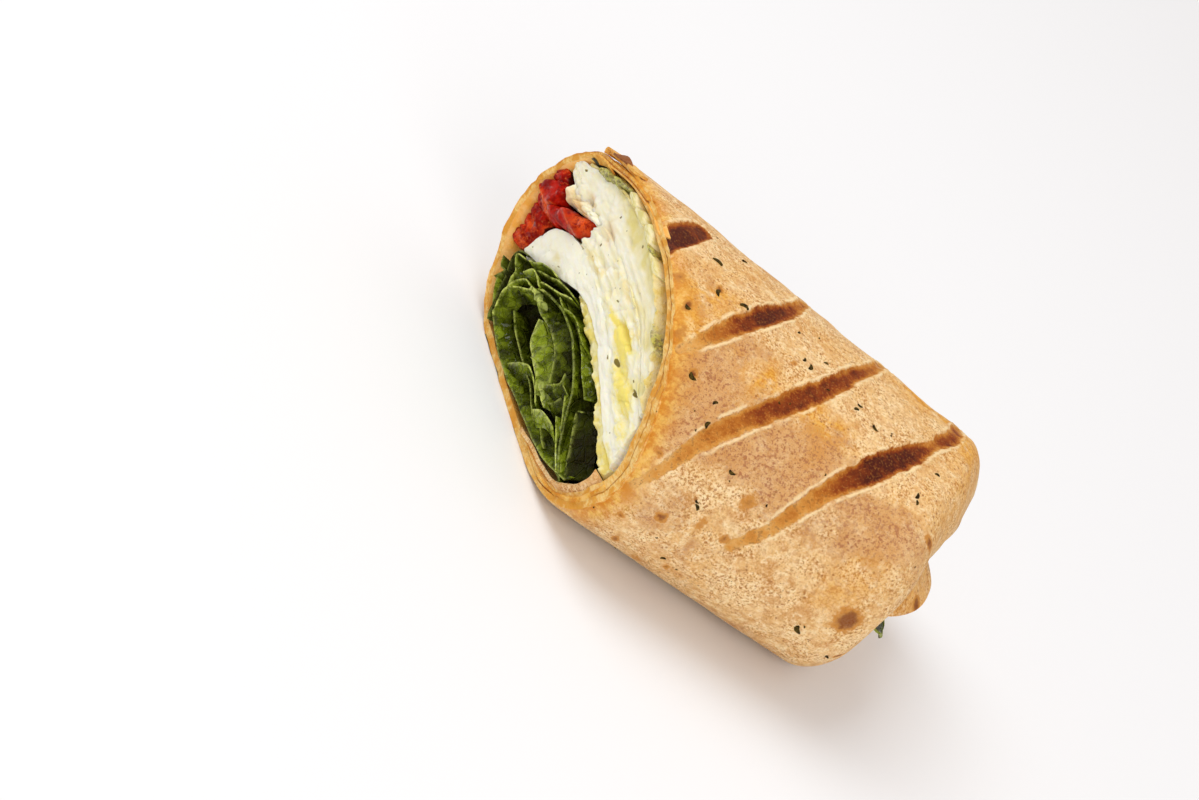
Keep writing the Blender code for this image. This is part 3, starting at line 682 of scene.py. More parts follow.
# %% Toasted tortilla
def tortilla_finish():
    f = Finish("toasted tortilla", roughness=0.62, specular=0.12)
    broad, mid, fine = f.noise(13, 3), f.noise(3.2, 4), f.noise(0.9, 3, 0.65)
    flour, scorch, mottle = f.noise(2.3, 5, 0.68), f.noise(4.4, 5, 0.66), f.noise(1.7, 4, 0.7)
    grain = f.noise(0.5, 2, 0.7)
    even, uneven = mid - 0.5, fine - 0.5
    f.colour = f.mix(broad.soft(0.40, 0.60), (0.85, 0.585, 0.285), (0.78, 0.475, 0.185))
    f.over(flour.soft(0.46, 0.62) * 0.60, (0.91, 0.705, 0.41))
    f.over(scorch.soft(0.51, 0.63) * 0.70, (0.62, 0.30, 0.085))
    f.over(mottle.soft(0.51, 0.60) * 0.50, (0.58, 0.28, 0.10))
    f.over(mottle.soft(0.45, 0.36) * 0.55, (0.96, 0.79, 0.50))
    speckled = f.noise(5.0, 3).soft(0.40, 0.60, 0.28, 0.85)
    f.over(grain.soft(0.52, 0.62) * (speckled * 0.75), (0.96, 0.79, 0.50))
    f.over(grain.soft(0.47, 0.39) * speckled, (0.38, 0.155, 0.035))
    pins = f.cells(0.95).soft(0.16, 0.10) * f.noise(4.0, 3).soft(0.46, 0.58)
    f.over(pins * 0.8, (0.20, 0.075, 0.02))
    f.over(f.noise(0.8, 3, 0.6, (6.0, 1, 1)).soft(0.46, 0.36) * 0.35, (0.62, 0.32, 0.10))

    amber_tone = f.mix((fine + grain).soft(0.85, 1.15), (0.62, 0.24, 0.022), (0.80, 0.43, 0.075))
    f.over(f.painted("amber") * (mid + fine * 0.3).soft(0.45, 0.70), amber_tone)
    haze = (f.painted("toast") + (f.noise(5.5, 4, 0.6) - 0.5) * 1.8).soft(0.20, 0.85)
    f.over(haze * 0.60, (0.62, 0.325, 0.125))
    f.over(haze * (fine * 0.5 + grain * 0.5).soft(0.49, 0.58) * 0.85, (0.39, 0.145, 0.060))
    freckles = f.cells(1.5).soft(0.22, 0.12) * f.noise(6, 2).soft(0.42, 0.56)
    f.over(freckles * 0.75, (0.36, 0.14, 0.04))
    oil_tone = f.mix((mid + fine * 0.6).soft(0.66, 0.90), (0.88, 0.52, 0.09), (0.66, 0.26, 0.025))
    f.over(f.painted("rim") * mid.soft(0.25, 0.65, 0.7, 1.0), oil_tone)

    edge = f.painted("mark") + (even * 1.5 + uneven * 0.7)
    pale = edge.soft(-1.05, -0.55) * edge.soft(-0.02, -0.30) * f.painted("dark").soft(0.10, 0.35)
    pale = pale * f.noise(4.2, 2).soft(0.40, 0.56)
    f.over(pale * 0.75, (0.95, 0.74, 0.42))
    burnt = f.painted("dark") * edge.soft(-0.1, 1.3, 0.50, 1.0) + (even * 0.75 + uneven * 0.45)
    char = f.ramp(burnt, (0.0, (0.76, 0.45, 0.15)), (0.25, (0.64, 0.29, 0.055)),
                  (0.5, (0.45, 0.145, 0.016)), (0.75, (0.24, 0.042, 0.005)),
                  (1.0, (0.075, 0.011, 0.004)))
    dots = grain.soft(0.54, 0.66) * burnt.soft(0.9, 0.4, 0.22, 0.55)
    char = f.mix(dots, char, (0.70, 0.30, 0.06))
    char = f.mix(fine.soft(0.46, 0.36) * 0.45, char, (0.14, 0.024, 0.004))
    f.over(edge.soft(-0.15, 0.20), char)
    f.over(f.painted("crease") * fine.soft(0.3, 0.7, 0.0, 0.45), (0.92, 0.70, 0.38))
    spot = f.painted("spot") + (uneven * 0.7 + even * 0.4)
    ring = f.mix(spot.soft(0.36, 0.85), (0.58, 0.25, 0.045), (0.22, 0.055, 0.010))
    f.over(spot.soft(0.14, 0.36) * 0.9, ring)

    crumb = f.noise(0.9, 4, 0.65, (1.6, 1.6, 0.55))
    bread = f.mix(crumb.soft(0.36, 0.62), (0.80, 0.43, 0.085), (0.91, 0.63, 0.24))
    bread = f.mix(f.noise(3.4, 3).soft(0.45, 0.60) * 0.9, bread, (0.72, 0.32, 0.035))
    f.over(f.painted("cut").soft(0.35, 0.7), bread)
    inner = f.mix(mid.soft(0.4, 0.6), (0.93, 0.56, 0.19), (0.88, 0.43, 0.07))
    f.over(f.painted("inside").soft(0.4, 0.9) * f.painted("cut").soft(0.7, 0.35), inner)
    f.set("Roughness", f.painted("rim").soft(0.1, 0.9, 0.66, 0.40))
    f.glow(0.08, (1.2, 0.55, 0.22))
    fibres = grain * 0.6 + (fine * 0.8 + f.noise(1.3, 3, 0.6, (4.5, 1, 1)) * 0.7)
    return f.end(fibres + (pale * 0.5 + edge.soft(-0.1, 0.5) * (mid * 1.2)), 0.30, 0.85)


toasted = tortilla_finish()
done(sheet, toasted, "tortilla", "tortilla", sharp=60)

# %% [markdown]
# ## Egg, white slab and pesto
# Under the crown lie pesto, a white slab and a folded egg patty: a yellow layer, a white fold that
# wraps round at one end and a browned underside. Each is a solid that runs through the wrap, and
# only its cut face and a few millimetres behind it show. So each is a block whose section has a
# fine grid: the knife's face then gets lamellae, pits and crumbs by moving its points in and out,
# and the long way in stays coarse.

# %% Where one layer ends and the next begins, from the tomato end to the narrow end
PESTO_TOP = "28.6 38.9, 20 42.9, 10 45.9, 3 46, -5 44.4, -12 41.3, -19 37, -26.4 31"
WHITE_TOP = """32.4 34.6, 30.6 36.6, 27.8 38.3, 20.1 42.2, 10 45, 3 45.5, -5.2 43.9, -12.3 40.8,
    -19.4 36.5, -25.9 30.8"""
WHITE_UNDER = """32.4 34, 29.2 32.8, 26.6 31.6, 25.6 29.8, 23.6 31.2, 20.6 32.6, 16.4 35.4,
    10 37.1, 2 37.9, -6 37.5, -14 35.5, -20 32.6, -26 29.6"""
YELLOW_TOP = "15.4 35, 13.6 36.5, 10 37.1, 2 37.9, -6 37.5, -14 35.5, -20 32.6, -27.4 28.4"
YELLOW_UNDER = "15.4 29.6, 13 30.2, 10 30.5, 2 30.1, -6 28.9, -14 26.9, -21 24.7, -29.6 21.8"
STRIP_TOP = """25.3 21.6, 23.8 24.4, 21 26.6, 18 28.3, 15.4 29.2, 13 30, 10 30.5, 2 30.1, -6 28.9,
    -14 26.9, -21 24.7, -29.8 21.8"""
STRIP_UNDER = """25.9 15.6, 22.6 15.5, 19 17.9, 15 20.9, 11 23.1, 7.6 25, 2 26.5, -6 25.7,
    -14 23.5, -22 20.9, -29.8 19"""
CRUST_TOP = "7.4 25, 2 26.5, -6 25.7, -14 23.5, -22 20.9, -29.8 19"
CRUST_UNDER = "7 24.3, 2 23.8, -6 22.9, -14 20.9, -20 18.6, -24 17, -29.7 16"
PESTO_UNDER = "28.4 38.2," + ",".join(WHITE_TOP.split(",")[3:])    # it lies on the slab

# The depths at which a layer has rings: all the way in, or just behind the cut.
LONG = (0, 0.003, 0.006, 0.010, 0.015, 0.022, 0.032, 0.05, 0.08, 0.12, 0.25, 0.4, 0.55, 0.7, 0.8,
        0.87)
SHORT = (0, 0.004, 0.010, 0.020, 0.035)
RELIEF_FADE = 60    # how fast the relief dies out, per share of the length
WOBBLE = 0.28
LAMELLA_LENGTH = 9
LAMELLA_HEIGHT = 0.9
CURD_SHARPNESS = 3.2


# %% One layer of the filling
def layer(name, upper, lower, columns, rows, relief, recess=0.4, seed=1, round_off=0.7,
          rounding=(5, 24), depths=LONG, gap=0.02):
    """A block between two lines of the cut. relief(place, along, up) moves its cut face out."""
    obj = block(name, columns, rows, len(depths) - 1)
    share = corners(obj)
    depth = np.array(depths)[np.rint(share[:, 2] * (len(depths) - 1)).astype(int)]
    under, over = (share_of(smooth(line), share[:, 0]) for line in (lower, upper))
    up = share[:, 1]
    section = under + (over - under) * (gap + (1 - 2 * gap) * up)[:, None]
    along = share[:, 0] * lengths(smooth(upper))[-1]
    flat = np.stack([section[:, 0], section[:, 1], np.zeros(len(up))], -1)
    wobble = np.stack([rough(flat, 2.6, seed), rough(flat, 2.6, seed + 3)], -1)
    edge = np.exp(-depth * RELIEF_FADE)
    section = section + WOBBLE * wobble * edge[:, None]
    near_edge = np.abs(2 * up - 1) ** rounding[0] + np.abs(2 * share[:, 0] - 1) ** rounding[1]
    out = relief(flat, along, up) - recess - round_off * near_edge
    put(obj, into_wrap(section[:, 0], section[:, 1], depth, out * edge))
    outwards(obj)
    return obj, flat, share


def lamellae(along, up, seed, thickness, strength):
    """Thin leaves of egg or curd, drawn out along the layer, which is that thick in mm."""
    stretched = np.stack([along / LAMELLA_LENGTH, up * thickness / LAMELLA_HEIGHT,
                          np.full(len(up), seed)], -1)
    return strength * rough(stretched, 1.0, seed)


def curds(flat, size, seed):
    """Rounded lumps with sharp creases between them, from -1 to 0."""
    return -np.clip(1 - np.abs(rough(flat, size, seed)) * CURD_SHARPNESS, 0, 1)


def dents(flat, places):
    """Pits at given places of the cut: centre, two half sizes and depth."""
    return -sum(deep * np.exp(-(((flat[:, 0] - y) / ry) ** 2 + ((flat[:, 1] - z) / rz) ** 2) ** 1.5)
                for y, z, ry, rz, deep in rows(places))


WHITE_DENTS = """22.2 34.6 1.5 0.9 2.6, 6.6 41 1.2 0.6 0.7, 12.5 37.3 4 0.6 0.8,
    -2 38.8 5 0.5 0.6, 17.5 35.2 1.4 0.7 1"""
YOLK_DENTS = """7.5 33.2 2.6 0.9 1, 1.5 32.6 2.2 0.8 1.1, -9 33 4.4 0.8 1.3, -15.5 30 5 1.5 0.8,
    -23 26.6 3 1 0.7"""


def white_relief(flat, along, up):
    crumbly = eased(flat[:, 0], 8, 20) * (1 - up) + 0.25
    return (lamellae(along, up, 32, 7, 0.35) + 0.30 * rough(flat, 3.6, 33)
            + crumbly * 0.5 * curds(flat, 2.0, 34) + 0.12 * rough(flat, 1.0, 31)
            + dents(flat, WHITE_DENTS))


def yellow_relief(flat, along, up):
    return (lamellae(along, up, 36, 8, 0.55) + 0.30 * rough(flat, 2.8, 37)
            + 0.5 * curds(flat, 2.4, 38) + 0.14 * rough(flat, 0.9, 35) + dents(flat, YOLK_DENTS))


def strip_relief(flat, along, up):
    return (lamellae(along, up, 39, 4, 0.22) + 0.30 * rough(flat, 4.6, 40)
            + 0.25 * curds(flat, 3.0, 41) + 0.14 * rough(flat, 1.2, 42)
            - 0.5 * eased(flat[:, 0], 16, 24))


def crust_relief(flat, along, up):
    frayed = (1 - up) * 0.9 * rough(flat, 1.2, 42)
    return (lamellae(along, up, 43, 3, 0.3) + 0.35 * rough(flat, 1.9, 44)
            + 0.3 * curds(flat, 1.6, 45) + frayed)


def pesto_relief(flat, along, up):
    return (0.8 * rough(flat, 2.2, 45) + 0.6 * curds(flat, 1.8, 47)
            + 0.35 * rough(flat, 0.8, 46) + 0.4)


def clump_relief(flat, along, up):
    return 0.9 * rough(flat, 1.3, 48) + 0.8 * curds(flat, 1.5, 49)


def sliver_relief(flat, along, up):
    return 0.25 * rough(flat, 1.6, 51)


def torn_relief(flat, along, up):
    return 0.9 * rough(flat, 1.3, 57) + 0.9 * curds(flat, 1.7, 58)


# %% The layers' blocks
MEET = -0.015    # a gap below zero, so that two layers of egg leave no dark hairline
white, white_flat, _ = layer("white_slab_cut", WHITE_TOP, WHITE_UNDER, 170, 26, white_relief,
                             0.1, 3, 0.25, (7, 24), gap=MEET)
yolk, yolk_flat, _ = layer("yellow_egg_cut", YELLOW_TOP, YELLOW_UNDER, 150, 26, yellow_relief,
                           0.0, 4, 0.0, gap=MEET)
strip, strip_flat, _ = layer("white_egg_fold", STRIP_TOP, STRIP_UNDER, 170, 18, strip_relief,
                             0.1, 5, 0.12, (8, 24), gap=MEET)
crust, _, crust_share = layer("egg_underside", CRUST_TOP, CRUST_UNDER, 130, 12, crust_relief,
                              0.5, 6, gap=0.0)
sauce, sauce_flat, _ = layer("pesto_band", PESTO_TOP, PESTO_UNDER, 190, 8, pesto_relief,
                             -0.1, 2, 0.3)

# %% Pieces in the pesto and the slab's torn edge
clump, _, _ = layer("herb_clump", "25.9 40.2, 24.2 42, 21.6 43, 18.4 45, 14.8 46.2",
                    "25.5 39.2, 22.2 40.5, 20.4 41.8, 16.8 43.9, 14.6 45.4",
                    70, 16, clump_relief, -0.9, 8, 1.4, (2.4, 8), SHORT)
fleck, _, _ = layer("dark_leaf_fleck", "28.9 39.3, 28.4 40.2, 27.2 40.7",
                    "28.6 38.8, 27.8 39, 27 39.8",
                    18, 8, clump_relief, -0.4, 9, 0.9, (2.4, 8), SHORT)
SLIVERS = [
    ("14.8 45.7, 13.6 46.8, 11.6 46.6, 10.6 46.2", "14.6 45.2, 13.4 44.9, 11.6 44.8, 10.7 45.4"),
    ("10.9 45.6, 9.2 46.9, 7.4 47.2, 6 46.4", "10.6 45, 8.6 45, 7 45.1, 5.9 45.6"),
    ("5.9 46.2, 5 47.8, 2.9 47.2, 1 45.6", "5.7 45.6, 4.2 45, 2.7 44.9, 1.1 45"),
    ("0.2 45.4, -2.2 45.8, -5 44.9", "0.1 44.8, -2.2 44.4, -4.8 44"),
]
slivers = [layer(f"onion_sliver_{number}", *sides, 26, 10, sliver_relief,
                 -0.7, 10, 0.7, (4, 8), SHORT)[0] for number, sides in enumerate(SLIVERS)]
torn, torn_flat, _ = layer("torn_slab_edge", "28.4 33.6, 26.4 33, 23 34, 19.6 35.2, 15.6 36.2",
                           "28.2 32.6, 26 29.8, 23.6 30.9, 20.6 32.2, 15.4 34.6", 80, 16,
                           torn_relief, -0.8, 11, 1.2, (3, 8), SHORT)

# %% Patches of colour on the cut faces, by their place (y, z) on the cut
YOLK_PATCHES = """-3 31.6 3.4 0.8 0.6, -8.2 32.3 3.8 1.4 1.3, -11.4 31.6 2.6 2.2 1.1,
    -16.5 28.6 5 2.4 0.8, -21.2 27.2 3.4 2.2 0.7, -26 24.8 2.8 1.6 0.6, -28 19.6 2.6 1.2 0.9,
    -22 21.4 3 0.7 0.4"""
CREAM_PATCHES = """9.8 31.2 4 0.9 1.2, 7 32.2 1.6 0.7 0.9, 2 36.6 6 0.8 0.5, -4 37.2 6 0.9 0.6,
    -12 35.4 5 0.9 0.6"""
HERB_SPOTS = """-12.9 28.8 1 0.4 1.2, -10.8 27.4 0.6 0.25 1.1, 10.9 34.6 0.4 0.35 1,
    12.6 40.9 0.4 0.35 1, -21.4 30.5 0.7 0.4 1.2, -2 33.8 0.35 0.3 0.8, -19.5 31.5 0.5 0.3 0.9,
    5 29 0.3 0.3 0.6, 15.5 22.6 0.9 0.5 0.6, 28 37 0.5 0.3 1, 3 43.6 0.5 0.35 1"""
# Tomato juice soaked into the egg; the first patch is also painted shade in the pit there.
TOMATO_STAIN_AND_SHADE = """21.4 35.4 1.5 0.8 1.3, 12 37 2.4 1.6 0.6, 23.5 32.6 2.2 0.8 0.7,
    17.5 34.4 2 0.8 0.5"""
GREEN_STAIN = """-3 43.3 16 1.9 1.1, 12 43.4 5 1.5 0.9, -14 38.2 7 2 1, -22 33 4 1.8 0.8,
    16.6 22.4 1.8 0.8 0.7, 5 41.2 2.4 0.8 0.7, 1 44.2 10 1.4 0.8"""


def paint_patches(obj, flat, name, places, broken=0.6, seed=50):
    wander = broken * rough_3d(flat, 1.7, seed)
    paint(obj, **{name: patches(flat[:, 0] + wander[:, 0], flat[:, 1] + wander[:, 1], places)})


for obj, flat in (white, white_flat), (yolk, yolk_flat), (strip, strip_flat):
    paint_patches(obj, flat, "yolk", YOLK_PATCHES, 1.0)
    paint_patches(obj, flat, "cream", CREAM_PATCHES, 1.0, 52)
    paint_patches(obj, flat, "herb", HERB_SPOTS, 0.2, 54)
    paint_patches(obj, flat, "stain", TOMATO_STAIN_AND_SHADE, 0.7, 56)
    paint_patches(obj, flat, "green", GREEN_STAIN, 1.2, 58)
# The torn edge gets tomato juice and painted shade.
paint_patches(torn, torn_flat, "stain", "25.6 30.8 2 1.2 1.2, 21 32.8 4 0.9 1.2", 0.7, 56)
paint_patches(torn, torn_flat, "cream", "23 33 4 1.6 1.3", 0.7, 57)
paint(crust, up=crust_share[:, 1])
white = join("white_slab_cut", [white, torn])


# %% Finishes of egg and white slab
def egg_finish(name, plain, deep, grain_size, gloss=0.42):
    """Moist cooked egg or curd: one colour, broken by lamellae and by the painted patches."""
    f = Finish(name, roughness=gloss, specular=0.4)
    flakes = f.noise(1.5, 4, 0.6, (2.2, 2.2, 0.5))
    broad, grain = f.noise(4.0, 3), f.noise(grain_size, 3, 0.65)
    f.colour = f.mix((flakes * 0.6 + broad * 0.4).soft(0.38, 0.60), plain, deep)
    f.over(f.painted("cream") * flakes.soft(0.3, 0.65), (0.86, 0.70, 0.30))
    yolk_here = (f.painted("yolk") + (flakes + (grain - 1.0)) * 0.7).soft(0.12, 0.95)
    f.over(yolk_here * 0.95, (0.91, 0.76, 0.14))
    f.over(f.painted("green") * broad.soft(0.25, 0.7, 0.4, 0.9), (0.74, 0.63, 0.17))
    # Tomato juice, and painted shade in the pit and on the torn edge.
    f.over(f.painted("stain") * 0.7, (0.72, 0.42, 0.17))
    f.over(f.cells(1.9).soft(0.13, 0.07) * broad.soft(0.5, 0.6, 0.0, 0.7), (0.22, 0.20, 0.05))
    f.over(f.painted("herb").soft(0.35, 0.6), (0.20, 0.15, 0.015))
    f.glow(0.35, (1.4, 1.1, 0.5))
    return f.end(grain * 0.6 + flakes * 0.7, 0.35, 0.6)


white_slab = egg_finish("white slab", (0.95, 0.925, 0.77), (0.92, 0.87, 0.62), 0.7)
yellow_egg = egg_finish("yellow egg", (0.95, 0.925, 0.76), (0.93, 0.87, 0.56), 0.6)
egg_white = egg_finish("egg white", (0.95, 0.935, 0.80), (0.94, 0.91, 0.70), 0.9, 0.35)
done(white, white_slab, "white_slab", "white_slab")
done(yolk, yellow_egg, "egg_yellow", "egg_yellow")
done(strip, egg_white, "egg_white", "egg_white")


def crust_finish():
    f = Finish("browned egg", roughness=0.5, specular=0.35)
    grain, mid = f.noise(0.6, 4, 0.65), f.noise(2.2, 4)
    f.colour = f.mix(mid.soft(0.36, 0.60), (0.92, 0.85, 0.46), (0.86, 0.72, 0.18))
    low = f.painted("up").soft(0.55, 0.0) + (grain - 0.5) * 0.9
    f.over(low.soft(0.62, 1.1) * 0.8, (0.60, 0.44, 0.05))
    f.over(grain.soft(0.66, 0.75) * 0.6, (0.20, 0.13, 0.02))
    f.glow(0.2, (1.2, 0.9, 0.4))
    return f.end(grain, 0.3, 0.6)


done(crust, crust_finish(), "egg_crust", "egg_crust")


# %% Finishes of pesto and onion
def pesto_finish():
    f = Finish("herb paste", roughness=0.32, specular=0.5)
    grain, mid = f.noise(0.55, 4, 0.7), f.noise(2.0, 4)
    f.colour = f.mix(mid.soft(0.40, 0.60), (0.92, 0.80, 0.40), (0.84, 0.66, 0.18))
    green = f.mix(f.noise(0.8, 3, 0.6).soft(0.42, 0.56), (0.46, 0.50, 0.05), (0.07, 0.075, 0.005))
    f.over(f.painted("thick") * grain.soft(0.30, 0.55, 0.45, 1.0), green)
    f.over(grain.soft(0.62, 0.70) * 0.7, (0.05, 0.045, 0.008))
    f.over(f.painted("thick").soft(1.1, 1.5), (0.035, 0.035, 0.012))
    f.glow(0.1, (0.8, 0.9, 0.3))
    return f.end(grain + mid, 0.5, 0.8)


HERB_CLUSTERS = "22 42.5 5 2 1.3, -15.5 38.7 2.6 2 0.8, 0 45 1.8 2 0.9"
paint_patches(sauce, sauce_flat, "thick", HERB_CLUSTERS, 0.0)
paint(clump, thick=0.75)
paint(fleck, thick=1.6)
done(join("pesto_band", [sauce, clump, fleck]), pesto_finish(), "pesto", "pesto")


def onion_finish():
    f = Finish("oiled onion", roughness=0.25, specular=0.35)
    fibres = f.noise(0.8, 3, 0.5, (3, 3, 0.7))
    f.colour = f.mix(fibres.soft(0.36, 0.62), (0.86, 0.80, 0.48), (0.70, 0.62, 0.22))
    f.glow(0.25, (1.0, 0.9, 0.4))
    return f.end(fibres, 0.3, 0.6)


done(join("onion_slivers", slivers), onion_finish(), "pesto", sharp=60)

# %% [markdown]
# ## Dried tomato
# Sun-dried tomato in oil is dark red and leathery: a few plump lobes that lie over each other, with
# black gaps between them and wet highlights on their rims. One wrinkled lump loses the lobes, so
# each lobe is a layer of its own between two lines of the cut, its face well rounded, with broad
# folds, a rolled rim or a ridge where the photo shows one.

# %% Lobes: node, upper and lower line, how far out, rounding, folds, wrinkles, rolled rim, ridge
LOBES = [
    (1, "29 31, 31 32.2, 32.6 32.4, 33.1 31, 33.3 29.2",
     "28.6 29.6, 31 28.8, 32.4 28.4, 33.2 28.4",
     0.6, 1.6, 0.5, 0.55, 0, None),
    (2, "33.3 25.4, 32.6 26.6, 30 26.4, 27 26, 24.5 26.4",
     "33.2 22.6, 32 21.9, 29.7 22.1, 26 23.4, 23.4 25.2",
     0, 1.8, 0.4, 0.2, 0, None),
    (2, "33.6 26.7, 32.4 28.8, 30.2 31.2, 27.6 30.9, 26.9 28.4",
     "33.4 26, 32.8 24.8, 30.8 24, 28.8 23.9, 26.9 26.6",
     1.1, 2.2, 0.35, 0.12, 0.9, None),
    (2, "29.2 25.4, 26.4 28, 24.4 29.5, 21.1 31.9, 18.3 33.8, 15.7 34.4",
     "29.4 23.8, 26.4 24.2, 24.1 25.2, 20.6 27, 17.4 28.8, 15.8 31.4",
     0.7, 1.7, 0.45, 0.12, 0, "25.4 29.4, 21.5 29.4, 17.6 30"),
    (3, "31.6 13.4, 32.8 15, 32.6 17.4, 33 19.2, 33.3 20.8, 33.2 22.6",
     "30 12.9, 27.4 14.2, 25.9 16.4, 26.4 18.8, 26.4 21.4, 26.4 23.6, 29.4 23.8",
     -0.4, 1.6, 0.9, 0.5, 0, None),
]
# Painted highlights where the lobes catch the light: centre, two half sizes and strength.
PAINTED_HIGHLIGHTS = """18.6 32 3 1.8 1.2, 19.8 29.2 2.6 0.5 0.8, 31.8 24.8 2.6 0.7 1.1, 28.6 24.2 2 0.7 1,
    33 32 1 1.4 1, 28.2 15.4 1.6 1.6 0.9, 29 19.4 1.4 1.2 0.9, 33.6 21 1 1 0.8,
    26.4 21.6 0.6 1.8 0.8"""
RIDGE_HEIGHT = 1.1
RIDGE_WIDTH = 0.9


def tomato_relief(folds, wrinkles, roll, ridge):
    """A lobe's face: broad folds, fine wrinkles, a rolled rim on its lower side, a ridge."""
    def relief(flat, along, up):
        small = np.minimum(np.abs(rough(flat, 1.5, 61)) * 3.2, 1) - 0.6
        out = folds * rough(flat, 2.8, 60) + wrinkles * small
        if ridge:
            line = smooth(ridge)
            apart = np.hypot(flat[:, :1] - line[:, 0], flat[:, 1:2] - line[:, 1]).min(1)
            out = out + RIDGE_HEIGHT * near(apart, RIDGE_WIDTH)
        return out + roll * near(up - 0.16, 0.12)
    return relief


def tomato_finish():
    f = Finish("dried tomato", roughness=0.20, specular=0.10)
    f.set("Specular Tint", (1.0, 0.45, 0.28))
    mid, fine, wrinkled = f.noise(2.2, 3), f.noise(0.6, 4, 0.65), f.painted("rough")
    f.colour = f.mix(mid.soft(0.40, 0.60), (0.23, 0.001, 0.001), (0.47, 0.008, 0.002))
    # Painted highlight: bright red where a lobe's face or rim catches the light.
    f.over(f.painted("shine") * (fine + mid).soft(0.70, 1.05), (0.78, 0.10, 0.015))
    # Painted shade in the wrinkles' hollows and painted highlights on their crests.
    f.over(wrinkled * fine.soft(0.50, 0.38) * 0.5, (0.14, 0.003, 0.002))
    f.over(wrinkled * fine.soft(0.56, 0.66) * 0.55, (0.84, 0.22, 0.05))
    # Painted shade: near black towards each lobe's edges, where the gaps lie in shadow.
    f.over(f.painted("gap").soft(0.55, 1.0), (0.05, 0.002, 0.001))
    f.set("Coat Weight", f.noise(1.5, 2).soft(0.60, 0.66, 0.0, 0.8))
    f.set("Coat Roughness", 0.10)
    f.glow(0.22, (1.8, 0.12, 0.03), 0.9)
    return f.end(fine * wrinkled * 0.9 + (mid + fine * 0.15), 0.35, 0.7)


red = tomato_finish()
lobes_of = {}
for number, (node, upper, lower, out, round_off, folds, wrinkles, roll, ridge) in enumerate(LOBES):
    lobe, flat, share = layer(f"tomato_lobe_{number}", upper, lower, 60, 26,
                              tomato_relief(folds, wrinkles, roll, ridge), -out, 60 + number,
                              round_off, (3.0, 10))
    from_middle = np.abs(2 * share[:, :2] - 1)
    # A painted highlight along the rolled rim's lit side.
    lit_rim = 0.6 * (roll > 0) * near(share[:, 1] - 0.14, 0.1)
    paint(lobe, shine=patches(flat[:, 0], flat[:, 1], PAINTED_HIGHLIGHTS) + lit_rim,
          rough=min(wrinkles * 1.25, 1),
          # painted shade towards the lobe's edges
          gap=np.maximum(from_middle[:, 1], from_middle[:, 0] ** 3) ** 8)
    lobes_of.setdefault(node, []).append(lobe)
for node, lobes in lobes_of.items():
    done(join(f"dried_tomato_{node}", lobes), red, "tomato", f"tomato_{node}", sharp=80)

# %% [markdown]
# ## Spinach
# Wilted leaves lie pressed together, and the knife leaves them as they lay: a few show a broad,
# smooth, dark green face, others only a thin pale edge, and between them it is almost black. A lump
# with a leafy texture never looks like that. A core painted almost black, as shade, fills the back,
# and in front of it stand real leaves: each is a grid whose front edge follows a line on the cut,
# and which goes in with a lean, so that its face shows beside the next one's edge. Their light and
# shade are painted into their colour. Solidify gives them a leaf's thickness.

# %% The core behind the leaves
SPINACH_TOP = """26.6 15.2, 22.3 15.3, 19 17.4, 15 20.4, 11 22.6, 7 23.8, 2 23.3, -6 22.4,
    -14 20.4, -20 18.1, -24 16.5, -29.2 15.6"""
SPINACH_UNDER = """28 9.6, 24.8 6.2, 19 3, 10 2.3, 0 2.3, -10 3.2, -18 4.7, -24 7.6, -27.8 11.5,
    -29.2 15"""
CORE_SETBACK = 3.8


def core_relief(flat, along, up):
    return 1.2 * rough(flat, 4.5, 70) + 0.7 * rough(flat, 2.0, 71) - CORE_SETBACK


core, _, _ = layer("spinach_core", SPINACH_TOP, SPINACH_UNDER, 70, 22, core_relief, 0.0, 7, 1.0)
# The core is painted almost black: painted shade in the depth behind the leaves.
paint(core, shade=0.02)

# %% One leaf
SEEN_SHIFT = np.array((-1.24, 0.68))    # 1 mm out looks moved the other way from the camera
MEAN_LENGTH = 75.0
SHADE_INWARDS = 0.22
EDGE_WIDTH = 0.22


def leaf(line, out, lean_y, lean_z, deep, shade, crumple, wave, columns=70, edge=0.7, face=0,
         rows=12, thick=0.28, pointed=0, seed=76):
    """A sheet whose front edge follows a line on the cut, and whose back has moved by the lean."""
    obj = grid(f"leaf_{seed}", columns, rows)
    share = corners(obj)
    along, back_share = share[:, 0], share[:, 1] ** 1.4
    back = back_share[:, None]
    front_line = smooth(line)
    length = lengths(front_line)[-1]
    flat = np.stack([along * length, back_share * deep, np.full(len(along), seed * 9.0)], -1)
    ripple = crumple * (0.7 * rough_3d(flat, 5.0, seed) + 0.25 * rough_3d(flat, 1.7, seed + 5))
    broad = 1 - pointed * (1 - np.sin(np.pi * along) ** 0.8)
    section = share_of(front_line, along) + SEEN_SHIFT * out
    section = section + np.outer(back_share * broad, (lean_y, lean_z))
    section = section + ripple[:, :2] * (0.4 + 0.6 * back)
    bulge = face * np.sin(np.pi * back_share ** 0.7) * np.sin(np.pi * along) ** 0.5
    front = out + wave * rough(flat, 3.4, seed + 2) * (1 - back_share) + ripple[:, 2] + bulge
    put(obj, into_wrap(section[:, 0], section[:, 1], back_share * deep / MEAN_LENGTH, front))
    # Painted light and shade per leaf, darker deeper in, and a painted lit edge at the front.
    paint(obj, shade=shade - SHADE_INWARDS * back_share + 0.16 * rough(flat, 4, seed + 3),
          edge=edge * near(back_share * deep, EDGE_WIDTH))
    solidify(obj, thick)
    return obj
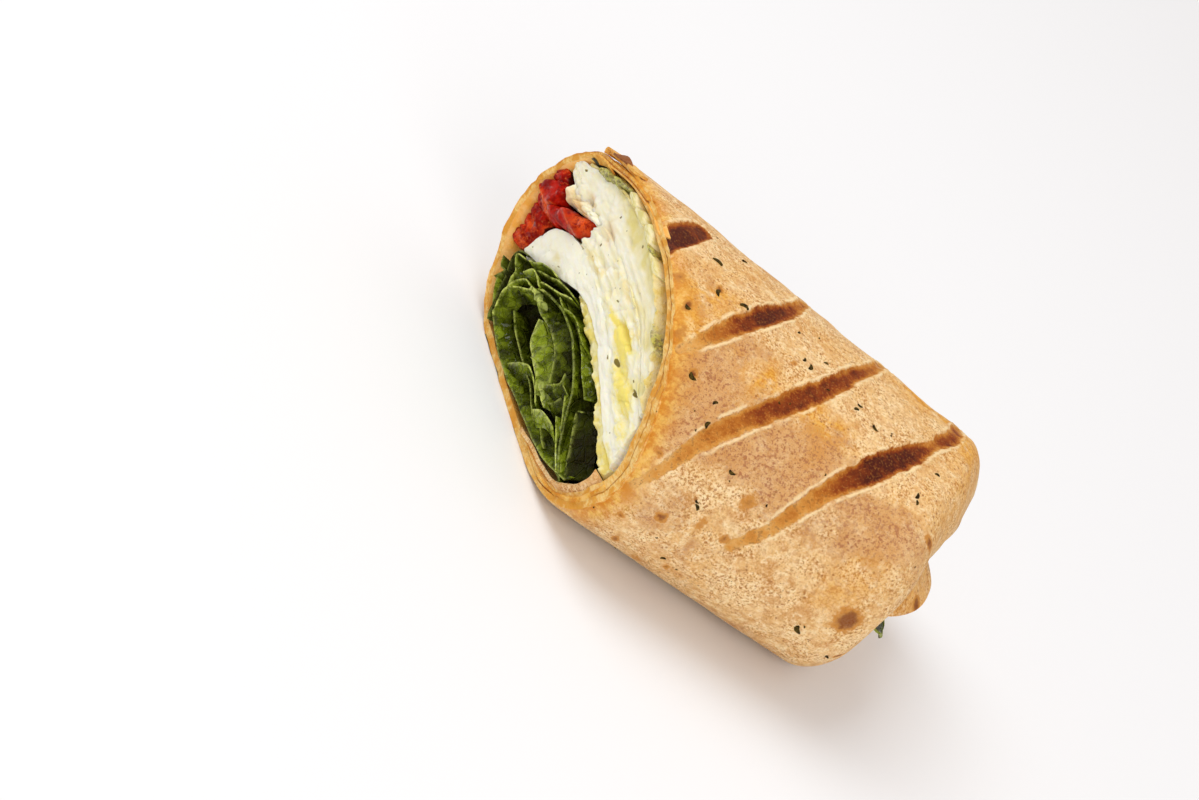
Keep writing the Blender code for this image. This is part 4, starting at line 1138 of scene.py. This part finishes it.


# %% Where the leaves lie, the hindmost first
# Each is a line on the cut, how far out it stands, its lean, how deep it goes, its painted light
# and shade, crumple, wave, columns and brightness of its painted lit edge, and for some its bulge,
# rows, thickness and point.
LEAVES = [
    # the broad face between the arch and the egg, and two more behind it
    ("9 19.9, 3 21.2, -2 20.8, -10 17.8, -14.2 13.8, -19.3 9.8, -24.4 7.6",
     -0.6, -0.5, 4.2, 3.2, 0.27, 0.25, 0.1, 110, 0.1),
    ("-16.2 17.3, -15.4 16, -18 13.6, -21 11.2, -25 8.2",
     0.2, -1.8, 4.4, 3, 0.18, 0.2, 0.1, 70, 0.5),
    ("9 22, 4.9 21.9, 1 22.4, -3.8 21.9, -9 20.2, -14 18.6",
     -0.3, -0.5, 1.8, 3, 0.46, 0.3, 0.2, 70, 0.25),
    # the arch's rim, seen on edge from its top down to the bottom
    ("14.2 16.9, 10.8 18.6, 6.4 20.3, 2.4 20.8, -2 20.3, -10 17.2, -14.2 13, -19.3 8.9, -24.3 6.9",
     0.9, 0.6, -0.6, 3, 0.44, 0.2, 0.12, 120, 0.25, 0, 12, 0.45),
    # right of the hollow: a broad face from the fold to the rim
    ("15.4 15.6, 12 15, 9.1 15, 5.5 15.9, 2.1 16.1, -0.6 15.5, -3.4 13.2, -5.6 11.6",
     0.4, -1.2, 4.4, 2.4, 0.4, 0.45, 0.3, 90, 0.5, 0.3, 12, 0.28, 0.4),
    # the left face, from the floor side to the hollow
    ("""25.4 7.4, 21.5 4.4, 17.8 3.1, 12.1 2.2, 8.3 1.9, 2.4 2.1, -2.5 2.7, -9.2 3.4, -13.3 3.9,
     -19 5.4, -25 8.2""",
     0.7, 0.4, 3, 3.2, 0.46, 0.3, 0.2, 130, 0.55, 0.7),
    ("15.2 8.6, 10.8 7.4, 5.5 7, 3 7, -1.7 7, -6.6 5.6, -12 5",
     0, 0.8, 0.2, 3, 0.36, 0.2, 0.15, 80, 0.6),
    # the hollow's back, painted almost black as shade
    ("15.6 9, 10 7.6, 4 7.2, -2 7",
     -3, -1, 6.5, 2, 0.06, 0.4, 0.3, 70, 0),
    # the face of the arch, below its lit edge
    ("18.7 3.3, 20.2 5.9, 20.9 8.4, 19.4 11, 16.6 13.8, 14.4 16.6, 12.4 17.9",
     1.1, -2.4, 0.2, 2.4, 0.44, 0.25, 0.15, 90, 1.3, 0.3, 12, 0.4),
    # the middle: a glossy face painted light as a sheen, with its lit left edge, and the folds
    # beside it
    ("8.6 14.2, 6.4 11, 3 9.8, -1 9.2, -5 8.8, -8.4 8.6",
     1, -2, 5, 2.2, 0.86, 0.35, 0.12, 80, 1, 0.5, 12, 0.28, 0.9),
    ("3 9.4, 0.4 10.2, -2.6 8.6, -5 8",
     1.5, -0.8, 1.6, 1.6, 0.72, 0.15, 0.1, 40, 0.6, 0, 8),
    ("-4.6 9.4, -5.4 11.8, -7.2 14.4, -6.2 16.4",
     0.9, -3.4, -0.4, 2.4, 0.44, 0.4, 0.3, 50, 0.5, 0.4),
    ("-7.4 12.4, -8 15, -10.4 15.2",
     0.6, -3.6, -0.8, 2.4, 0.38, 0.4, 0.3, 40, 0.5, 0.4),
    # small tips at the lower left of the middle
    ("6.2 3.4, 4.6 5.8, 3.4 7.2",
     0.9, -4.2, -0.4, 2.2, 0.46, 0.3, 0.2, 40, 0.6, 0.4),
    ("3.6 7, 1.4 8.4, -3 8.2, -6 7",
     1.4, -1.6, -1.6, 2.2, 0.66, 0.25, 0.15, 50, 0.8),
    ("-6.8 6, -8.6 8, -10.9 9, -13.2 9.4",
     1.5, -2.4, -1.4, 1.4, 0.86, 0.2, 0.15, 44, 0.8, 0.3, 8),
    ("-7.6 9.2, -9.4 11.4, -9.6 13.4",
     0.3, -4.6, 0.2, 2.6, 0.36, 0.4, 0.3, 40, 0.4, 0.4),
    # long narrow leaves that run down to the bottom
    ("-10 14.6, -14.4 11.8, -18.6 9.4, -24 7.6",
     0.4, -0.6, 2.2, 3, 0.52, 0.15, 0.12, 70, 0.7),
    ("-12.4 11, -15.1 9.8, -18.7 8, -21.8 6.9",
     0.8, -0.3, 1.2, 2.6, 0.5, 0.15, 0.12, 50, 1),
    ("-10.8 6.4, -14.6 5.6, -18.8 5.8, -23.6 7",
     0.2, -0.6, 3, 3.2, 0.3, 0.2, 0.15, 70, 0.5),
    # the tent at the top and the folds on its right
    ("18.6 2.8, 20.4 4.2, 22.4 7.2, 24.6 10.8, 25.6 14.3, 23.4 16.2, 20.6 17.3",
     0.4, -1.6, 0.4, 3, 0.26, 0.35, 0.25, 100, 0.2),
    ("21 8.6, 22.2 10.4, 22.4 12, 24 12.7, 25.2 14, 23 15.4",
     1.2, -2.2, 0.6, 2.4, 0.34, 0.2, 0.2, 60, 0.8),
    ("20.9 8.8, 20.6 11.2, 18.9 13.9, 17 14.6",
     1.5, -1.2, 0.4, 1.8, 0.52, 0.25, 0.2, 50, 0.9, 0, 8),
    ("20.6 14, 19.7 16.2, 17.6 17, 15 16.8",
     1.7, -2, -0.6, 1.8, 0.46, 0.25, 0.2, 50, 0.9, 0, 8),
    ("21.6 16.4, 20.3 17.4, 18.8 19.2, 16 20.8, 13.6 21.6",
     1.1, -1.8, -0.4, 2.2, 0.6, 0.35, 0.3, 70, 0.8, 0.3),
    ("18.4 17.4, 15.2 19.6, 12.3 21.6, 9.4 23, 6.8 24",
     0.8, -2.6, -0.2, 2.6, 0.34, 0.45, 0.35, 90, 0.6),
    ("15 17.6, 13.2 18.9, 10.1 20.8, 8.2 22.2, 6.4 23.4",
     1.3, -1.6, 0.2, 2, 0.44, 0.4, 0.35, 70, 0.8),
    ("8.6 21, 6.2 21, 3.6 22.4, 0.6 23, -3.8 22.6",
     0.7, -2.2, -0.6, 2.2, 0.62, 0.5, 0.4, 70, 0.5, 0.3),
    # curls that reach the tortilla on the left
    ("25.6 6.6, 24.8 9.4, 26.4 9, 27.6 10.6",
     1, -0.8, 0.2, 1.2, 0.3, 0.2, 0.2, 36, 0.3, 0, 6),
    ("18.6 1.6, 19.6 2.6, 20.6 4.6",
     1, -0.8, 0.8, 1.2, 0.3, 0.2, 0.2, 30, 0.3, 0, 6),
]
leaves = [leaf(*facts, seed=80 + number) for number, facts in enumerate(LEAVES)]
stalk = leaf("16.2 14.6, 14.8 15.2, 13.6 14.8, 12.4 15.4, 11.2 15.4",
             2.0, -0.4, 0.3, 1.4, 1.45, 0.3, 0.4, 40, 0.9, 0, 8, 0.8)
heap = join("spinach_leaves", [*leaves, stalk])


# %% Wilted leaf
def leaf_finish():
    f = Finish("wilted leaf", roughness=0.34, specular=0.12)
    f.set("Specular Tint", (1.0, 1.0, 0.3))
    mid, fine, crinkle = f.noise(2.6, 4), f.noise(0.6, 3, 0.6), f.noise(2.5, 1)
    veins = f.cells(2.4, "DISTANCE_TO_EDGE").soft(0.09, 0.0)
    # The painted light and shade picks the green, from near black in shade to lit yellow-green.
    shade = f.painted("shade")
    f.colour = f.ramp(shade + (mid - 0.5) * 0.8, (0.0, (0.008, 0.006, 0.0002)),
                      (0.22, (0.018, 0.022, 0.0002)), (0.5, (0.098, 0.134, 0.0010)),
                      (0.75, (0.23, 0.30, 0.014)), (1.0, (0.42, 0.48, 0.12)))
    f.over(veins * shade * 0.35, (0.17, 0.22, 0.008))
    # Painted highlights on the crinkles' crests and painted shade in their hollows.
    f.over(crinkle.soft(0.53, 0.60) * shade.soft(0.1, 0.6) * 0.7, (0.29, 0.37, 0.018))
    f.over(crinkle.soft(0.46, 0.37) * 0.5, (0.020, 0.028, 0.0003))
    # Painted highlight along the leaves' front edges, partly their own paler cut edge.
    f.over(f.painted("edge") * f.noise(1.6, 2).soft(0.31, 0.53), (0.68, 0.76, 0.17))
    # Painted glints: small light specks, as wet highlights, on the lighter faces.
    painted_glints = f.noise(0.45, 2).soft(0.65, 0.71) * f.noise(2.2, 2).soft(0.46, 0.58)
    f.over(painted_glints * shade.soft(0.3, 0.7, 0.0, 0.8), (0.52, 0.62, 0.18))
    f.set("Roughness", mid.soft(0.3, 0.7, 0.24, 0.42))
    f.set("Coat Weight", f.noise(0.8, 2).soft(0.57, 0.62) * shade.soft(0.15, 0.6))
    f.set("Coat Roughness", 0.10)
    f.glow(0.06, (0.5, 1.0, 0.15), 0.8)
    return f.end(veins * -0.5 + (fine * 0.8 + (mid * 1.3 + crinkle * 2.2)), 0.70, 1.1)


wilted = leaf_finish()
done(core, wilted, "spinach", "spinach")
done(heap, wilted, "spinach", sharp=70)

# %% [markdown]
# ## The folded end: a tongue of tortilla and a leaf tip
# At the end the sheet is tucked in, and one lobe of it slips out behind, with a spinach tip below
# it. Both are thin sheets, so they are grids bent and given a thickness, and they sit where the
# solids of the same name sit.

# %% The tongue
tongue = grid("end_flap", 60, 30)
across, out, _ = corners(tongue).T
reach = 1 - np.abs(2 * across - 1) ** 2.8
y = -20.5 + 28 * across
x = 91 + (15.9 + 0.06 * y - 0.012 * np.maximum(y + 2, 0) ** 2) * out * (0.25 + 0.75 * reach)
z = 29.5 + 0.22 * (y + 9) - 5 * out ** 3 + 0.9 * np.sin(5 * across)
flat = np.stack([x, y, z], -1)
flat[:, 2] += 0.30 * rough(flat, 6.0, 151) * out
flat[:, 0] += 0.25 * rough(flat, 6.0, 152) * out
put(tongue, flat)
paint(tongue, toast=0.25, amber=0.5 * eased(out, 0.3, 0.7), mark=NO_MARK,
      spot=patches(x, y, "104.6 -12 1.2 1 1"), cut=np.where(out > 0.995, 0.3, 0))
solidify(tongue, SHEET * 0.9)
done(tongue, toasted, "tortilla", "tortilla")

# %% The tip of a leaf
tip = grid("spinach_end_tip", 30, 16)
along, across, _ = corners(tip).T
across = across * 2 - 1
half = 4.2 * (1 - along ** 1.6) ** 0.6
flat = np.stack([99.6 + 3.2 * along, -17 - 1.0 * along + half * across,
                 20.9 - 2.0 * along ** 2 + 0.7 * np.abs(across) - 0.3], -1)
flat[:, 2] += 0.4 * rough(flat, 2.4, 161)
put(tip, flat)
# The tip's painted light and shade grows lighter towards its end, with a painted lit edge.
paint(tip, shade=0.22 + 0.3 * along, edge=0.5 * np.clip((np.abs(across) - 0.85) * 6, 0, 1))
solidify(tip, 0.45)
done(tip, wilted, "spinach", "spinach_tip")

# %% [markdown]
# ## Torn layers at the crown and the fold at the narrow end
# Where the knife went through the crown the tortilla's turns split into brown, flaky leaves, and
# one tip stands up. At the narrow end the inner turn folds over the spinach as a thick pale lip.
# They are the same kind of sheet as a leaf, in tortilla.


# %% Flakes of tortilla: out, lean, depth, thickness, crumple, wave, columns, then what differs
def flake(number, line, sizes, rim=0.9, pointed=0, **paints):
    out, lean_y, lean_z, deep, thick, crumple, wave, columns = sizes
    bit = leaf(line, out, lean_y, lean_z, deep, 0, crumple, wave, columns, thick=thick,
               pointed=pointed, seed=170 + number)
    paint(bit, mark=NO_MARK, rim=rim, **paints)
    return bit


CROWN_FLAKES = [
    ("33 35.2, 29.9 38.5, 26.2 41.9, 22.9 43.3, 18.5 45.4, 14.2 46.9, 8 48.3, 2 48.3",
     (0.5, 0.1, 0.7, 2, 0.35, 0.3, 0.3, 120), dict(inside=0.9)),
    ("25.8 42.9, 22.6 44.4, 18.4 46.3, 14.6 47.5, 10.6 48.5",
     (0.9, 0.3, 0.5, 1.6, 0.4, 0.35, 0.4, 90), dict(amber=1)),
    ("27.6 42.6, 28.1 43.4, 27 44.2, 24.6 45.1, 21.4 46.6, 18 47.8",
     (0.9, -0.4, 0.6, 2.2, 0.5, 0.3, 0.4, 80), dict(amber=0.5)),
    ("30.8 38.6, 27.6 41.4, 25.4 42.4, 24 42.6",
     (0.9, -0.6, -0.6, 1.2, 0.4, 0.4, 0.4, 60), dict(amber=0.9)),
    ("25.4 44.6, 23.6 45.4, 21.4 46.6",
     (1.3, 0.2, 1.2, 1.2, 0.4, 0.5, 0.5, 40), dict(rim=0, spot=2, pointed=0.8)),
]
flakes = [flake(number, line, sizes, **more)
          for number, (line, sizes, more) in enumerate(CROWN_FLAKES)]
done(join("crown_flakes", flakes), toasted, "tortilla", sharp=70)

# %% The fold at the narrow end
END_FOLD = [
    ("-8 1.6, -13.4 3, -18.4 3.9, -22.4 5, -25.2 7.2, -27.8 10.9, -29 14.4, -28.6 16.4",
     (0.6, -1.4, -0.6, 2.4, 0.8, 0.25, 0.3, 100), dict(inside=0.25, rim=0.1)),
    ("-19.6 2.6, -24 4.2, -28.4 7.6, -31 11.6, -32.4 17",
     (0.5, -0.8, -0.4, 2, 0.5, 0.3, 0.3, 80), dict(amber=1)),
]
folds = [flake(number, line, sizes, **more)
         for number, (line, sizes, more) in enumerate(END_FOLD, 8)]
done(join("end_fold", folds), toasted, "tortilla", sharp=70)

# %% [markdown]
# ## Herb specks
# Flecks of dried herb stick to the skin. One small bent fleck is modelled and copied, each copy
# pressed into the skin where the photo shows one, or strewn where it doesn't reach.

# %% One fleck
bpy.ops.object.select_all(action="DESELECT")
bpy.ops.mesh.primitive_ico_sphere_add(subdivisions=2, radius=0.5)
fleck_model = bpy.context.object
fleck_form = corners(fleck_model)
fleck_form *= (1 + 0.35 * rough(fleck_form, 0.5, 181))[:, None]
fleck_form = fleck_form * (1.6, 0.8, 0.42)
fleck_form[:, 1] += 0.4 * fleck_form[:, 0] ** 2
print("a fleck has", len(fleck_model.data.polygons), "triangles")

# %% Where the flecks lie on the skin: x, distance up, size
SPECKS = """39 92.4 1, 34 82.6 1.5, 35.9 73.5 1.2, 42 75.6 1.3, 54.1 79.8 0.7, 57.4 74.2 0.8,
    59.1 72.8 1.1, 61.8 77.7 0.7, 58.6 83.3 0.5, 46.1 51.8 0.8, 71.3 73.5 0.8, 70.4 71.4 0.9,
    75.2 70 1, 47.1 47.6 1, 39.5 53.2 1.2, 32 65 1, 89 61 0.9, 89.6 60.2 0.7, 91 71 0.8,
    56 42 0.9, 55 33 0.9, 54.2 33.8 0.6, 86 25 1.4, 95 21.5 0.9, 57 20 0.8"""
specks = rows(SPECKS)
draw = random.Random(8)
for _ in range(26):
    specks.append((draw.uniform(24, 98), draw.uniform(-88, -52), draw.uniform(0.5, 1.1)))
for _ in range(22):
    specks.append((draw.uniform(30, 98), draw.uniform(8, 98), draw.uniform(0.25, 0.5)))
flecks = []
for x, up, size in specks:
    closest = np.argmin(np.hypot(skin_places[:, 0] - x, skin_up - up))
    outward = Vector(skin_away[closest]).to_track_quat("Z", "Y").to_matrix()
    turned = np.array(outward @ Matrix.Rotation(draw.uniform(0, 6.3), 3, "Z"))
    fleck = fleck_model.copy()
    fleck.data = fleck_model.data.copy()
    bpy.context.scene.collection.objects.link(fleck)
    root = skin_places[closest] + 0.02 * skin_away[closest]
    put(fleck, fleck_form * size @ turned.T + root)
    flecks.append(fleck)
bpy.data.objects.remove(fleck_model)


def herb_finish():
    f = Finish("dried herb", roughness=0.7, specular=0.08)
    f.colour = f.mix(f.noise(0.7).soft(0.4, 0.6), (0.022, 0.013, 0.003), (0.085, 0.055, 0.008))
    return f.end(f.noise(0.3), 0.1)


done(join("herb_flecks", flecks), herb_finish(), None, sharp=80)

# %% [markdown]
# ## Floor, light and camera
# The photo is a bright product shot: an even, near-white ground, and soft light that comes mostly
# from beyond the top edge of the picture. A white world gives the fill, one broad area light gives
# the direction and the soft shadow, and a second, from near the camera, lights the side that faces
# it. The camera stands where the photo's stood against this half, long lens and tilt included.

# %% Floor and world
bpy.ops.object.select_all(action="DESELECT")
bpy.ops.mesh.primitive_plane_add(size=14, location=(0, 0, -0.00005))
floor = bpy.context.object
floor.name = "floor"
paper = Finish("pale floor", roughness=0.9, specular=0.2)
paper.set("Base Color", (0.885, 0.900, 0.922))
floor.data.materials.append(paper.material)

world = bpy.data.worlds.new("white room")
bpy.context.scene.world = world
world.use_nodes = True
world.node_tree.nodes["Background"].inputs["Color"].default_value = (1.0, 0.92, 0.875, 1.0)
world.node_tree.nodes["Background"].inputs["Strength"].default_value = 0.60
bpy.context.scene.view_settings.view_transform = "Standard"


# %% Lights
def area_light(name, place, size, power, colour, aim=(0, 0, 0.02)):
    light = bpy.data.lights.new(name, "AREA")
    light.size, light.energy, light.color = size, power, colour
    obj = bpy.data.objects.new(name, light)
    obj.location = place
    obj.rotation_euler = (Vector(place) - Vector(aim)).to_track_quat("Z", "Y").to_euler()
    bpy.context.scene.collection.objects.link(obj)


area_light("window", (-0.52, 0.22, 1.06), 0.85, 7.6, (0.955, 0.99, 1.0))
area_light("front card", (0.30, -1.0, 0.60), 0.7, 4.6, (1.0, 0.98, 0.97))

# %% Camera
AIM = Vector((-0.0050, -0.0003, 0.024))
AZIMUTH, ELEVATION, ROLL = math.radians(-12.0), math.radians(28.0), math.radians(43.03)
DISTANCE = 0.700
PHOTO_WIDTH = 1199
FOCAL_PIXELS = 3584.7
AIM_PIXEL = (99.4, -12.6)

back = Vector((math.sin(AZIMUTH) * math.cos(ELEVATION), -math.cos(AZIMUTH) * math.cos(ELEVATION),
               math.sin(ELEVATION)))
level = Vector((math.cos(AZIMUTH), math.sin(AZIMUTH), 0))
right = level * math.cos(ROLL) + back.cross(level) * math.sin(ROLL)
upward = back.cross(right)
turned = back + right * (AIM_PIXEL[0] / FOCAL_PIXELS) + upward * (AIM_PIXEL[1] / FOCAL_PIXELS)
turned.normalize()
right = upward.cross(turned).normalized()
upward = turned.cross(right)

lens = bpy.data.cameras.new("camera")
lens.sensor_width = 36.0
lens.lens = FOCAL_PIXELS / PHOTO_WIDTH * lens.sensor_width
camera = bpy.data.objects.new("camera", lens)
axes = Matrix((right, upward, turned)).transposed().to_4x4()
camera.matrix_world = Matrix.Translation(AIM + back * DISTANCE) @ axes
bpy.context.scene.collection.objects.link(camera)
bpy.context.scene.camera = camera
print("lens", round(lens.lens, 1), "mm at", [round(v, 3) for v in camera.location])

# %% Sizes, and the end
print("cad", [[round(v / MM, 1) for v in c] for c in cad_box])
